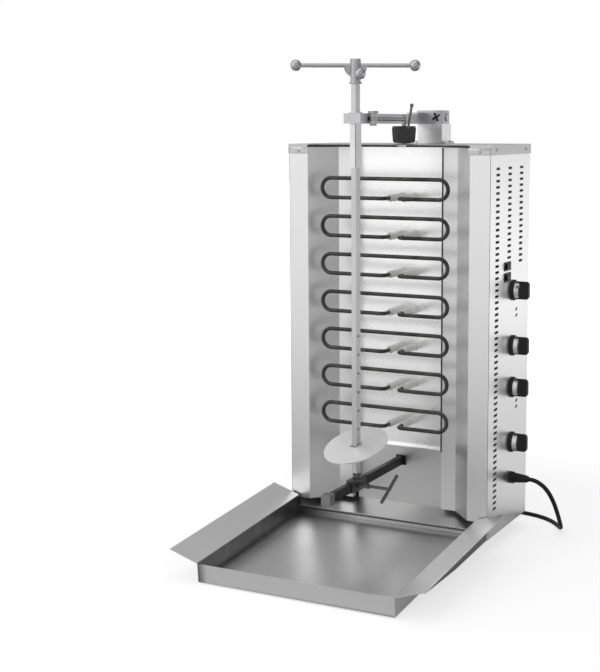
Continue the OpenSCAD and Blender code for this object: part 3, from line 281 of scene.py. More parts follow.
def sheetSteel(name, tone, along, rough, streak):
    finish = Finish(name)
    lines = finish.noise(stretch=along, **sheetGrain["lines"])
    clouds = finish.noise(**sheetGrain["clouds"])
    smears = finish.noise(**sheetGrain["smears"])
    level = (lines - 0.5) * streak + (clouds - 0.5) * (streak * sheetGrain["cloudShare"])
    dark = tuple(tone * (1 - streak) * tint for tint in sheetGrain["darkTint"])
    pale = tuple(min(1.0, tone * (1 + streak)) * tint for tint in sheetGrain["paleTint"])
    colour = finish.mix(finish.range(level, -streak, streak, 0, 1), dark, pale)
    if name in extraLook:
        colour = extraLook[name](finish, colour)
    lineShare, cloudShare, smearShare = sheetGrain["wearShares"]
    roughness = finish.stretched(lines * lineShare + clouds * cloudShare + smears * smearShare, *rough)
    normal = finish.bump(lines, sheetGrain["depth"], sheetGrain["strength"])
    return finish.set(colour=colour, metallic=1.0, roughness=roughness, normal=normal)


# Machined, cast or drawn metal parts. A stretch below 1 draws the grain out along that axis
solidMetals = {
    "spitSteel": {"colour": (0.56, 0.56, 0.57), "rough": (0.22, 0.38), "scale": 60, "pit": 0.00003,
                  "stretch": (1, 1, 0.06)},
    "handleSteel": {"colour": (0.42, 0.42, 0.43), "rough": (0.16, 0.30), "scale": 90, "pit": 0.00003},
    "sleeveSteel": {"colour": (0.72, 0.72, 0.73), "rough": (0.28, 0.40), "scale": 80, "pit": 0.00003,
                    "stretch": (1, 1, 0.08)},
    "armMetal": {"colour": (0.50, 0.50, 0.51), "rough": (0.32, 0.46), "scale": 55, "pit": 0.00005,
                 "stretch": (1, 0.15, 1)},
    "boxMetal": {"colour": (0.86, 0.86, 0.87), "rough": (0.34, 0.46), "scale": 45, "pit": 0.00004,
                 "stretch": (0.2, 0.2, 1)},
    "lockMetal": {"colour": (0.38, 0.38, 0.39), "rough": (0.30, 0.42), "scale": 70, "pit": 0.00004},
    "footMetal": {"colour": (0.13, 0.13, 0.135), "rough": (0.36, 0.52), "scale": 60, "pit": 0.00006},
    "endMetal": {"colour": (0.28, 0.28, 0.285), "rough": (0.34, 0.48), "scale": 60, "pit": 0.00005},
    "screwSteel": {"colour": (0.48, 0.48, 0.49), "rough": (0.26, 0.40), "scale": 120, "pit": 0.00002},
    "pulleyMetal": {"colour": (0.68, 0.68, 0.69), "rough": (0.26, 0.38), "scale": 90, "pit": 0.00003,
                    "stretch": (0.1, 0.1, 1)},
    "bushBronze": {"colour": (0.52, 0.36, 0.18), "rough": (0.30, 0.46), "scale": 120, "pit": 0.00003},
}
metalGrain = {"cloudScale": 0.2, "dark": 0.88, "pale": 1.10, "cloudWear": 0.6, "grainWear": 0.4,
              "strength": 0.5}


def solidMetal(name, colour, rough, scale, pit, stretch=(1, 1, 1)):
    finish = Finish(name)
    grain = finish.noise(scale, stretch, 4, 0.6)
    clouds = finish.noise(scale * metalGrain["cloudScale"], detail=2)
    dark = tuple(metalGrain["dark"] * part for part in colour)
    pale = tuple(min(1.0, metalGrain["pale"] * part) for part in colour)
    shade = finish.mix(finish.stretched(grain * 0.5 + clouds * 0.5), dark, pale)
    wear = clouds * metalGrain["cloudWear"] + grain * metalGrain["grainWear"]
    return finish.set(colour=shade, metallic=1.0, roughness=finish.stretched(wear, *rough),
                      normal=finish.bump(grain, pit, metalGrain["strength"]))


# Heating tube: dark oxide, paler and browner in patches
tubeOxide = {
    "patches": {"scale": 34, "detail": 4, "roughness": 0.6},
    "specks": {"scale": 320, "detail": 2, "roughness": 0.5},
    "patchSpan": (0.35, 0.7),
    "dark": (0.030, 0.029, 0.030),
    "pale": (0.085, 0.078, 0.074),
    "patchWear": 0.6,
    "speckWear": 0.4,
    "rough": (0.26, 0.46),
    "metallic": 0.55,
    "depth": 0.00006,
    "strength": 0.5,
}


def elementFinish(name, oxide):
    finish = Finish(name)
    patches = finish.noise(**oxide["patches"])
    specks = finish.noise(**oxide["specks"])
    tint = finish.mix(finish.range(patches, *oxide["patchSpan"], 0, 1), oxide["dark"], oxide["pale"])
    wear = patches * oxide["patchWear"] + specks * oxide["speckWear"]
    normal = finish.bump(specks, oxide["depth"], oxide["strength"])
    return finish.set(colour=tint, metallic=oxide["metallic"], normal=normal,
                      roughness=finish.stretched(wear, *oxide["rough"]))


# Moulded, painted or glazed surfaces
coatings = {
    "knobPlastic": {"colour": (0.018, 0.018, 0.019), "rough": (0.34, 0.46), "scale": 500, "pit": 0.00003},
    "rockerPlastic": {"colour": (0.016, 0.016, 0.017), "rough": (0.22, 0.32), "scale": 500, "pit": 0.00002},
    "clampPlastic": {"colour": (0.085, 0.085, 0.086), "rough": (0.38, 0.52), "scale": 400, "pit": 0.00005},
    "leverPaint": {"colour": (0.15, 0.148, 0.146), "rough": (0.30, 0.44), "scale": 300, "pit": 0.00003},
    "railEnamel": {"colour": (0.016, 0.016, 0.017), "rough": (0.26, 0.42), "scale": 220, "pit": 0.00005},
    "motorPaint": {"colour": (0.10, 0.10, 0.11), "rough": (0.44, 0.58), "scale": 260, "pit": 0.00005},
    "footRubber": {"colour": (0.022, 0.022, 0.022), "rough": (0.62, 0.78), "scale": 420, "pit": 0.00006},
    "beltRubber": {"colour": (0.020, 0.020, 0.020), "rough": (0.60, 0.74), "scale": 420, "pit": 0.00005},
    "glandPlastic": {"colour": (0.020, 0.020, 0.021), "rough": (0.40, 0.52), "scale": 420, "pit": 0.00004},
    "terminalPlastic": {"colour": (0.62, 0.58, 0.48), "rough": (0.48, 0.60), "scale": 380, "pit": 0.00004},
    "ceramicGlaze": {"colour": (0.90, 0.89, 0.87), "rough": (0.16, 0.30), "scale": 160, "pit": 0.00003},
    "cordRubber": {"colour": (0.014, 0.014, 0.015), "rough": (0.42, 0.56), "scale": 380, "pit": 0.00005},
    "tiePlastic": {"colour": (0.05, 0.05, 0.05), "rough": (0.40, 0.50), "scale": 380, "pit": 0.00003},
    "seamShadow": {"colour": (0.035, 0.035, 0.037), "rough": (0.50, 0.60), "scale": 380, "pit": 0.00001},
}
coatingGrain = {"dustScale": 0.06, "dark": 0.90, "pale": 1.25, "dust": 0.004, "dustWear": 0.6,
                "grainWear": 0.4, "strength": 0.6}

# Dark finishes that reflect little of the white room
dullFinishes = {"knobPlastic", "rockerPlastic", "railEnamel", "clampPlastic", "cordRubber", "glandPlastic"}
dullSpecular = 0.22


def coating(name, colour, rough, scale, pit):
    finish = Finish(name)
    if name in dullFinishes:
        finish.set(specular=dullSpecular)
    grain = finish.noise(scale, roughness=0.55)
    dust = finish.noise(scale * coatingGrain["dustScale"], roughness=0.55)
    dark = tuple(coatingGrain["dark"] * part for part in colour)
    pale = tuple(min(1.0, coatingGrain["pale"] * part + coatingGrain["dust"]) for part in colour)
    wear = dust * coatingGrain["dustWear"] + grain * coatingGrain["grainWear"]
    return finish.set(colour=finish.mix(finish.stretched(dust), dark, pale),
                      roughness=finish.stretched(wear, *rough),
                      normal=finish.bump(grain, pit, coatingGrain["strength"]))


materials = {name: sheetSteel(name, **look) for name, look in sheetSteels.items()}
materials.update({name: solidMetal(name, **look) for name, look in solidMetals.items()})
materials.update({name: coating(name, **look) for name, look in coatings.items()})
materials["elementOxide"] = elementFinish("elementOxide", tubeOxide)

knobNames = ["knob_%d" % number for number in (1, 2, 3, 4)]
wears = {
    "sideSteel": ["side_panel_right", "side_panel_left"],
    "rearSteel": ["rear_panel"],
    "topSteel": ["top_plate"],
    "columnSteel": ["column_right", "column_left"],
    "reflectorSteel": ["back_reflector"],
    "kickSteel": ["lower_panel"],
    "baseSteel": ["base_frame"],
    "traySteel": ["drip_tray"],
    "plateSteel": ["meat_plate"],
    "spitSteel": ["spit_bar", "plate_pin"],
    "handleSteel": ["handle_hub", "handle_bar"],
    "sleeveSteel": ["quill"],
    "armMetal": ["arm_housing", "arm_cover"],
    "boxMetal": ["motor_box"],
    "lockMetal": ["lock_lever", "lock_pin"],
    "footMetal": ["foot_block", "foot_bush", "foot_screw", "foot_tbar"],
    "endMetal": ["rail_end_block"],
    "screwSteel": ["panel_screws", "slide_screws", "clamp_stud"],
    "pulleyMetal": ["quill_pulley", "motor_pulley"],
    "bushBronze": ["quill_bushes"],
    "elementOxide": ["heating_element_%d" % number for number in range(1, 8)],
    "knobPlastic": [*knobNames, "switch_bodies"],
    "rockerPlastic": ["rocker_1", "rocker_2", "rocker_housings"],
    "clampPlastic": ["clamp_knob"],
    "leverPaint": ["clamp_lever"],
    "railEnamel": ["rail"],
    "motorPaint": ["gear_motor"],
    "footRubber": ["feet"],
    "beltRubber": ["drive_belt"],
    "glandPlastic": ["cable_gland"],
    "terminalPlastic": ["terminal_block"],
    "ceramicGlaze": ["element_bushes"],
    "cordRubber": ["power_cord", "cord_coil", "cord_lead", "plug"],
}
for finishName, names in wears.items():
    for name in names:
        for materialSlot in nodes[name].material_slots:
            materialSlot.material = materials[finishName]
print("finishes on", sum(len(names) for names in wears.values()), "nodes")

bodies = frame["record"]["behaviour"]["bodies"]
carrier = {node: body for body, held in bodies.items() for node in held}


# A mesh becomes a smooth piece with creases where its faces meet at more than an angle
def pieceOf(name, data, creaseAngle):
    data.shade_smooth()
    data.set_sharp_from_angle(angle=math.radians(creaseAngle))
    piece = bpy.data.objects.new(name, data)
    scene.collection.objects.link(piece)
    return piece


# The same for an edited shell, which also gets its finish
def shellPiece(name, shell, creaseAngle, material):
    data = bpy.data.meshes.new(name)
    shell.to_mesh(data)
    shell.free()
    data.materials.append(material)
    return pieceOf(name, data, creaseAngle)


# Rounded copies of the solids: merged, with flat faces joined and sharp edges broken by so many millimetres
softEdges = {
    0.9: [*knobNames, "rail_end_block"],
    0.5: ["rocker_1", "rocker_2", "rocker_housings", "foot_block", "handle_hub", "motor_box",
          "quill", "cable_gland", "rail"],
    2.0: ["plug"],
}
softening = {"mergeWithin": 0.00001, "flatAngle": 0.5, "creaseAngle": 32, "edgeAngle": 40, "segments": 2}

# The outer corners of the knobs' grips get a larger radius
gripEnds = {"radius": 0.0065, "segments": 6, "faceDepth": 0.0002, "cornerHeight": 0.0035}


def roundGrip(shell, grip):
    face = max(vert.co.x for vert in shell.verts) - grip["faceDepth"]
    heights = [vert.co.z for vert in shell.verts if vert.co.x > face]
    top = max(heights) - grip["cornerHeight"]
    foot = min(heights) + grip["cornerHeight"]
    ends = [edge for edge in shell.edges if all(vert.co.x > face for vert in edge.verts)
            and (all(vert.co.z > top for vert in edge.verts) or all(vert.co.z < foot for vert in edge.verts))]
    bmesh.ops.bevel(shell, geom=ends, offset=grip["radius"], segments=grip["segments"], affect="EDGES",
                    profile=0.5, clamp_overlap=True)


def softened(name, width, look):
    source = nodes[name]
    shell = bmesh.new()
    shell.from_mesh(source.data)
    bmesh.ops.remove_doubles(shell, verts=shell.verts, dist=look["mergeWithin"])
    bmesh.ops.dissolve_limit(shell, angle_limit=math.radians(look["flatAngle"]), verts=shell.verts,
                             edges=shell.edges)
    if name in knobNames:
        roundGrip(shell, gripEnds)
    piece = shellPiece(name + "Soft", shell, look["creaseAngle"], source.material_slots[0].material)
    rounding = piece.modifiers.new("edges", "BEVEL")
    rounding.width = width / 1000
    rounding.segments = look["segments"]
    rounding.limit_method = "ANGLE"
    rounding.angle_limit = math.radians(look["edgeAngle"])
    rounding.use_clamp_overlap = True
    rounding.harden_normals = True
    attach(piece, carrier[name])
    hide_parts(name)
    return piece


softPieces = {name: softened(name, width, softening)
              for width, names in softEdges.items() for name in names}
print("rounded copies", len(softPieces))


# A Geometry Nodes tree with named sizes, in metres. Its result becomes a plain mesh that rides on one body
class Pattern(Graph):
    socketKinds = {int: "NodeSocketInt", float: "NodeSocketFloat"}

    def __init__(self, name, sizes):
        self.name = name
        self.tree = bpy.data.node_groups.new(name, "GeometryNodeTree")
        face = self.tree.interface
        face.new_socket("Geometry", in_out="OUTPUT", socket_type="NodeSocketGeometry")
        face.new_socket("Places", in_out="INPUT", socket_type="NodeSocketGeometry")
        self.identifiers = {label: face.new_socket(label, in_out="INPUT",
                                                   socket_type=self.socketKinds[type(value)]).identifier
                            for label, value in sizes.items()}
        self.sizes = sizes
        self.entry = Wire(self, self.tree.nodes.new("NodeGroupInput"))

    def size(self, label):
        return self.entry.at(label)

    def vector(self, x=0.0, y=0.0, z=0.0):
        return self.node("ShaderNodeCombineXYZ", None, {0: x, 1: y, 2: z})

    def index(self):
        return self.node("GeometryNodeInputIndex")

    def rod(self, radius, depth, sides):
        return self.node("GeometryNodeMeshCylinder", None,
                         {"Vertices": sides, "Radius": radius, "Depth": depth})

    def cone(self, low, high, depth, sides):
        return self.node("GeometryNodeMeshCone", None,
                         {"Vertices": sides, "Radius Top": high, "Radius Bottom": low, "Depth": depth})

    def block(self, size):
        return self.node("GeometryNodeMeshCube", None, {"Size": size})

    def circle(self, radius, sides):
        return self.node("GeometryNodeCurvePrimitiveCircle", None,
                         {"Resolution": sides, "Radius": radius})

    def swept(self, path, profile):
        return self.node("GeometryNodeCurveToMesh", None, {0: path, 1: profile})

    def moved(self, shape, by, turn=(0.0, 0.0, 0.0)):
        return self.node("GeometryNodeTransform", None,
                         {"Geometry": shape, "Translation": by, "Rotation": turn})

    def joined(self, *shapes):
        made = self.tree.nodes.new("GeometryNodeJoinGeometry")
        for shape in reversed(shapes):
            self.tree.links.new(shape.socket, made.inputs[0])
        return Wire(self, made)

    def cut(self, shape, *tools):
        made = self.tree.nodes.new("GeometryNodeMeshBoolean")
        made.operation = "DIFFERENCE"
        made.solver = "EXACT"
        self.tree.links.new(shape.socket, made.inputs[0])
        for tool in tools:
            self.tree.links.new(tool.socket, made.inputs[1])
        return Wire(self, made)

    def onPlaces(self, shape, turn=(0.0, 0.0, 0.0), places=None, scale=(1.0, 1.0, 1.0)):
        return self.node("GeometryNodeInstanceOnPoints", None,
                         {"Points": places or self.entry.at("Places"), "Instance": shape,
                          "Rotation": turn, "Scale": scale})

    def make(self, shape, material, body, places=((0, 0, 0),), replaces=(), creaseAngle=35):
        real = self.node("GeometryNodeRealizeInstances", None, {0: shape})
        painted = self.node("GeometryNodeSetMaterial", None, {"Geometry": real, "Material": material})
        self.tree.links.new(painted.socket, self.tree.nodes.new("NodeGroupOutput").inputs[0])
        seeds = bpy.data.meshes.new(self.name + "Places")
        seeds.from_pydata([tuple(spot) for spot in places], [], [])
        holder = bpy.data.objects.new(self.name + "Holder", seeds)
        scene.collection.objects.link(holder)
        modifier = holder.modifiers.new("pattern", "NODES")
        modifier.node_group = self.tree
        for label, value in self.sizes.items():
            modifier[self.identifiers[label]] = value
        graph = bpy.context.evaluated_depsgraph_get()
        data = bpy.data.meshes.new_from_object(holder.evaluated_get(graph), depsgraph=graph)
        bpy.data.objects.remove(holder)
        data.name = self.name
        piece = pieceOf(self.name, data, creaseAngle)
        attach(piece, body)
        if replaces:
            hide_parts(*replaces)
        return piece


# Screw heads with a cross recess, each turned at random about its own axis
screwHeads = {
    "Radius": 0.0035,
    "Height": 0.0015,
    "Taper": 0.72,
    "Recess": 0.0011,
    "RecessWidth": 0.7,
    "RecessReach": 1.1,
    "Sides": 20,
    "Seed": 7,
}
bodyDepth = 230
capHalf = 225
screwRows = {
    "screwsRight": ((0.0, quarterTurn, 0.0), [(capHalf, 29.9, 808), (capHalf, 200.1, 808)]),
    "screwsLeft": ((0.0, -quarterTurn, 0.0), [(-capHalf, 29.9, 808), (-capHalf, 200.1, 808)]),
    "screwsFront": ((quarterTurn, 0.0, 0.0), [(201.25, -1.5, 804), (-201.25, -1.5, 804)]),
    "screwsRear": ((-quarterTurn, 0.0, 0.0), [(x, bodyDepth, height) for x in (-215, 0, 215)
                                              for height in (51.7, 423, 802.2)]),
}


def screwRow(name, turn, spots, sizes):
    pattern = Pattern(name, sizes)
    radius, height = pattern.size("Radius"), pattern.size("Height")
    dome = pattern.cone(radius, radius * pattern.size("Taper"), height, pattern.size("Sides"))
    reach = radius * pattern.size("RecessReach")
    wide = pattern.size("Recess") * pattern.size("RecessWidth")
    bars = [pattern.moved(pattern.block(pattern.vector(*bar)), pattern.vector(0.0, 0.0, height))
            for bar in ((reach, wide, height), (wide, reach, height))]
    head = pattern.cut(dome, *bars)
    spin = pattern.node("FunctionNodeRandomValue", {"data_type": "FLOAT"},
                        {2: 0.0, 3: 2 * math.pi, "Seed": pattern.size("Seed")}).at(1)
    facing = pattern.node("FunctionNodeRotateRotation", {"rotation_space": "LOCAL"},
                          {0: turn, 1: pattern.vector(0.0, 0.0, spin)})
    return pattern.make(pattern.onPlaces(head, facing), materials["screwSteel"], "housing",
                        [place(*spot) for spot in spots],
                        ["panel_screws"] if name == "screwsRight" else ())


for rowName, (turn, spots) in screwRows.items():
    screwRow(rowName, turn, spots, screwHeads)
print("screws made")

# White ceramic sleeves that carry the elements' legs through the reflector
ceramicSleeves = {
    "Radius": 0.0068,
    "Length": 0.062,
    "Collar": 0.0092,
    "CollarHeight": 0.0035,
    "CollarTaper": 0.9,
    "NoseTaper": 0.74,
    "NoseHeight": 0.4,
    "Bead": 0.0011,
    "BeadSides": 8,
    "Sides": 32,
}
beadShares = (0.34, 0.62, 0.90)
elements = {"count": 7, "topHeight": 729.8, "lowHeight": 263.0, "loopRadius": 19.8, "legs": (1, 31),
            "reflector": 75}


def sleevePlaces(rows):
    pitch = (rows["topHeight"] - rows["lowHeight"]) / (rows["count"] - 1)
    return [place(x, rows["reflector"], rows["lowHeight"] + i * pitch - rows["loopRadius"])
            for i in range(rows["count"]) for x in rows["legs"]]


def sleeves(sizes, rows):
    pattern = Pattern("ceramicSleeves", sizes)
    radius, length, sides = pattern.size("Radius"), pattern.size("Length"), pattern.size("Sides")
    wide = pattern.size("Collar")
    collar = pattern.cone(wide, wide * pattern.size("CollarTaper"), pattern.size("CollarHeight"), sides)
    barrel = pattern.moved(pattern.rod(radius, length, sides), pattern.vector(0.0, 0.0, length * 0.5))
    narrow, tall = radius * pattern.size("NoseTaper"), radius * pattern.size("NoseHeight")
    nose = pattern.moved(pattern.cone(radius, narrow, tall, sides), pattern.vector(0.0, 0.0, length))
    bead = pattern.swept(pattern.circle(radius, sides),
                         pattern.circle(pattern.size("Bead"), pattern.size("BeadSides")))
    beads = [pattern.moved(bead, pattern.vector(0.0, 0.0, length * share)) for share in beadShares]
    sleeve = pattern.onPlaces(pattern.joined(collar, barrel, nose, *beads), (quarterTurn, 0.0, 0.0))
    return pattern.make(sleeve, materials["ceramicGlaze"], "housing", sleevePlaces(rows),
                        ["element_bushes"])


sleeves(ceramicSleeves, elements)
print("ceramic sleeves made")

# A raised lip round every air slot of the side panels
slotLips = {
    "Length": 0.0206,
    "Height": 0.0051,
    "CornerSteps": 3,
    "Lip": 0.00045,
    "LipSides": 4,
}
panelFace = 223.5
slotField = {"front": 42, "columnPitch": 68, "top": 771, "pitch": 12.05, "long": 58, "short": 17}


def slotPlaces(field, x):
    spots = [(field["front"], i) for i in range(field["long"])]
    spots += [(field["front"] + c * field["columnPitch"], i) for c in (1, 2) for i in range(field["short"])]
    return [place(x, depth, field["top"] - i * field["pitch"]) for depth, i in spots]


def slotRims(name, sizes, x):
    pattern = Pattern(name, sizes)
    outline = pattern.node("GeometryNodeCurvePrimitiveQuadrilateral", None,
                           {"Width": pattern.size("Length"), "Height": pattern.size("Height")})
    outline = pattern.node("GeometryNodeFilletCurve", {"mode": "POLY"},
                           {"Curve": outline, "Count": pattern.size("CornerSteps"),
                            "Radius": pattern.size("Height") * 0.5})
    lip = pattern.swept(outline, pattern.circle(pattern.size("Lip"), pattern.size("LipSides")))
    lips = pattern.onPlaces(lip, (quarterTurn, 0.0, quarterTurn))
    return pattern.make(lips, materials["lipSteel"], "housing", slotPlaces(slotField, x), creaseAngle=60)


slotRims("slotLipsRight", slotLips, panelFace)
slotRims("slotLipsLeft", slotLips, -panelFace)
print("slot lips made")

# Bright dial ring on the skirt of each knob, collar round its hub and disc on the hub's face
dialRing = {
    "Outer": 0.0196,
    "Inner": 0.0166,
    "Thickness": 0.0005,
    "CollarHeight": 0.0078,
    "RingSides": 64,
    "HubRadius": 0.0143,
    "HubRise": 0.0085,
    "HubSides": 48,
}
knobFace = 231.6


def dial(number, sizes):
    low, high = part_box("knob_%d" % number)
    pattern = Pattern("dialRing_%d" % number, sizes)
    inner, thickness = pattern.size("Inner"), pattern.size("Thickness")
    sides = pattern.size("RingSides")
    ring = pattern.cut(pattern.rod(pattern.size("Outer"), thickness, sides),
                       pattern.rod(inner, thickness * 3.0, sides))
    tall = pattern.size("CollarHeight")
    collar = pattern.cut(pattern.rod(inner, tall, sides), pattern.rod(inner - thickness, tall * 3.0, sides))
    collar = pattern.moved(collar, pattern.vector(0.0, 0.0, tall * 0.5))
    disc = pattern.moved(pattern.rod(pattern.size("HubRadius"), thickness, pattern.size("HubSides")),
                         pattern.vector(0.0, 0.0, pattern.size("HubRise")))
    whole = pattern.onPlaces(pattern.joined(ring, collar, disc), (0.0, quarterTurn, 0.0))
    middle = (knobFace / 1000, (low[1] + high[1]) / 2, (low[2] + high[2]) / 2)
    return pattern.make(whole, materials["dialSteel"], "heat_knob_%d" % number, [middle])


for number in (1, 2, 3, 4):
    dial(number, dialRing)
print("dials made")

# Soft ribs round the tapered strain relief of the cord
reliefRibs = {
    "Count": 6,
    "First": 0.013,
    "Pitch": 0.0042,
    "StartRadius": 0.0093,
    "EndRadius": 0.0072,
    "Bead": 0.0012,
    "BeadSides": 8,
    "Sides": 32,
}
cordExit = (224, 134, 127)


def reliefRings(sizes):
    pattern = Pattern("reliefRibs", sizes)
    line = pattern.node("GeometryNodeMeshLine", None,
                        {"Count": pattern.size("Count"),
                         "Start Location": pattern.vector(pattern.size("First")),
                         "Offset": pattern.vector(pattern.size("Pitch"))})
    line = pattern.moved(line, tuple(place(*cordExit)))
    share = pattern.index() / (pattern.size("Count") - 1.0)
    start, end = pattern.size("StartRadius"), pattern.size("EndRadius")
    ring = pattern.swept(pattern.circle(start, pattern.size("Sides")),
                         pattern.circle(pattern.size("Bead"), pattern.size("BeadSides")))
    rings = pattern.onPlaces(ring, (0.0, quarterTurn, 0.0), line, 1.0 - share * (1.0 - end / start))
    return pattern.make(rings, materials["glandPlastic"], "housing", creaseAngle=60)


reliefRings(reliefRibs)
print("strain relief ribs made")

# Two pairs of small slanted marks on the control side, at these depths and heights
indexMarks = {
    "Length": 0.0095,
    "Width": 0.0042,
    "Thickness": 0.0008,
    "Slant": 0.35,
}
markSpots = [(157, 479), (158, 466), (165, 285), (164, 272)]
markRise = 0.1


def marks(sizes):
    pattern = Pattern("indexMarks", sizes)
    bar = pattern.block(pattern.vector(*(pattern.size(label) for label in ("Thickness", "Length", "Width"))))
    bars = pattern.onPlaces(bar, pattern.vector(pattern.size("Slant")))
    return pattern.make(bars, materials["knobPlastic"], "housing",
                        [place(panelFace + markRise, depth, height) for depth, height in markSpots])


marks(indexMarks)
print("marks made")

# Dark joints: the body, then x, depth and height of two opposite corners. The folded sleeve's joint runs
# down its front corner, so it is also turned by an angle about the sleeve's axis
seams = {
    "sideSeam": ("housing", (222.9, -0.2, 66), (223.75, 0.9, 797)),
    "sideSeamLeft": ("housing", (-223.75, -0.2, 66), (-222.9, 0.9, 797)),
    "stripSeam": ("housing", (100.4, 49.3, 186), (103.6, 50.4, 811)),
    "rimJoint": ("housing", (223.2, 7.3, 28.2), (223.8, 8.6, 43.0)),
    "caseJoint": ("upper_unit", (-1.6, 171.4, 860.2), (0.6, 174.2, 877.6)),
    "sleeveSeam": ("spit_sleeve", (7.0, -144.1, 775.5), (8.0, -143.1, 858.4), -18, (0, -136)),
}
# The cap's corners fold down over the fronts of the columns, as deep as its side lips
capFlap = {"inner": 177.6, "outer": 224.8, "proud": 1.5, "top": 811.4}
blockEdges = {"segments": 2, "creaseAngle": 40}


def roundedBlock(name, body, low, high, material, turn=0.0, pivot=(0, 0), width=0.15):
    shell = bmesh.new()
    bmesh.ops.create_cube(shell, size=1)
    first, last = place(*low), place(*high)
    bmesh.ops.scale(shell, vec=last - first, verts=shell.verts)
    bmesh.ops.translate(shell, vec=(first + last) / 2, verts=shell.verts)
    bmesh.ops.bevel(shell, geom=shell.edges, offset=width / 1000, segments=blockEdges["segments"],
                    affect="EDGES", profile=0.5)
    bmesh.ops.rotate(shell, cent=place(*pivot, 0), matrix=Matrix.Rotation(math.radians(turn), 3, "Z"),
                     verts=shell.verts)
    piece = shellPiece(name, shell, blockEdges["creaseAngle"], material)
    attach(piece, body)
    return piece


for name, (body, low, high, *turning) in seams.items():
    roundedBlock(name, body, low, high, materials["seamShadow"], *turning)
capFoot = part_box("top_plate")[0][2] * 1000
for name, left, right in (("capFlapRight", capFlap["inner"], capFlap["outer"]),
                          ("capFlapLeft", -capFlap["outer"], -capFlap["inner"])):
    roundedBlock(name, "housing", (left, -capFlap["proud"], capFoot), (right, 0, capFlap["top"]),
                 materials["topSteel"])
print("seams and cap corners made")

# Turned pieces: an outline of radius and height, spun about its axis, leant over and put in place
lathe = {"steps": 40, "mergeWithin": 0.00002, "creaseAngle": 30}


def turned(name, body, outline, spot, material, axis=(0, 0, 1), replaces=()):
    shell = bmesh.new()
    ring = [shell.verts.new((radius / 1000, 0, height / 1000)) for radius, height in outline]
    edges = [shell.edges.new(pair) for pair in zip(ring, ring[1:])]
    bmesh.ops.spin(shell, geom=ring + edges, cent=(0, 0, 0), axis=(0, 0, 1), angle=2 * math.pi,
                   steps=lathe["steps"])
    bmesh.ops.remove_doubles(shell, verts=shell.verts, dist=lathe["mergeWithin"])
    bmesh.ops.recalc_face_normals(shell, faces=shell.faces)
    lean = Vector((0, 0, 1)).rotation_difference(Vector(axis).normalized()).to_matrix().to_4x4()
    bmesh.ops.transform(shell, matrix=Matrix.Translation(place(*spot)) @ lean, verts=shell.verts)
    piece = shellPiece(name, shell, lathe["creaseAngle"], material)
    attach(piece, body)
    if replaces:
        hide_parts(*replaces)
    return piece


# Tapered clamp knob, hollow round its stud at the top, with upright ribs
clampKnob = {
    "outline": [(5.2, 819.2), (12.8, 819.2), (12.8, 820), (20.6, 820.4), (21.4, 821.6), (24.2, 850.5),
                (24.3, 853.1), (23.4, 854.5), (19.6, 854.5), (18.8, 852.9), (5.2, 852.9), (5.2, 819.2)],
    "spot": (0, 84, 0),
    "ribMiddle": (0, 84, 836.5),
}
clampRibs = {
    "Count": 22,
    "LowRadius": 0.0218,
    "HighRadius": 0.0240,
    "Height": 0.028,
    "RibRadius": 0.0013,
    "RibSides": 8,
}


def ribsRound(name, sizes, middle, material, body):
    pattern = Pattern(name, sizes)
    low, high, tall = (pattern.size(label) for label in ("LowRadius", "HighRadius", "Height"))
    ring = pattern.node("GeometryNodeMeshCircle", None,
                        {"Vertices": pattern.size("Count"), "Radius": (low + high) * 0.5})
    ring = pattern.moved(ring, tuple(middle))
    lean = ((high - low) / tall).maths("ARCTANGENT")
    angle = pattern.index() / pattern.size("Count") * (2 * math.pi)
    rib = pattern.rod(pattern.size("RibRadius"), tall, pattern.size("RibSides"))
    rib = pattern.moved(rib, (0.0, 0.0, 0.0), pattern.vector(0.0, lean, 0.0))
    ribs = pattern.onPlaces(rib, pattern.vector(0.0, 0.0, angle), ring)
    return pattern.make(ribs, material, body, creaseAngle=60)


turned("clampKnobBody", "clamp", clampKnob["outline"], clampKnob["spot"], materials["clampPlastic"],
       replaces=["clamp_knob"])
ribsRound("clampKnobRibs", clampRibs, place(*clampKnob["ribMiddle"]), materials["clampPlastic"], "clamp")
print("clamp knob made")

# Small turned fittings: body, finish, place, axis and outline. A domed set screw on the handle's hub, a
# collar below the hub, the round end cap of the motor case and the core of the thumb screw on its front
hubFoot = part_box("handle_hub")[0][2] * 1000
fittings = {
    "hubSetScrew": ("spit", "handleSteel", (9.5, -141, hubFoot + 19), (0.80, -0.60, -0.12),
                    [(0, 0), (5.4, 0), (5.4, 4.0), (9.4, 4.6), (10.4, 7.2), (9.8, 10.2), (7.6, 12.8),
                     (4.2, 14.4), (0, 15)]),
    "hubCollar": ("spit", "handleSteel", (0, -136, hubFoot - 0.2), (0, 0, 1),
                  [(10.4, 0), (12.2, 0.4), (12.6, 1.6), (12.2, 3.0), (10.4, 3.4), (10.4, 0)]),
    "caseEndCap": ("upper_unit", "armMetal", (45.8, 200, 873), (1, 0, 0),
                   [(0, 0), (8.2, 0), (8.6, 0.8), (8.6, 2.4), (7.6, 3.4), (0, 3.8)]),
    "thumbScrewCore": ("upper_unit", "knobPlastic", (34, 174.4, 873.5), (0, -1, 0),
                       [(0, 0), (3.2, 0), (3.4, 5.0), (2.6, 6.4), (0, 6.8)]),
}
# Star-shaped arms of the thumb screw
starScrew = {
    "Arms": 4,
    "Reach": 0.0078,
    "ArmRadius": 0.0021,
    "ArmSides": 14,
    "Depth": 0.0042,
    "StemWidth": 1.3,
    "StemDepth": 0.8,
    "Turn": 0.5,
}
starSpot = (34, 171, 873.5)


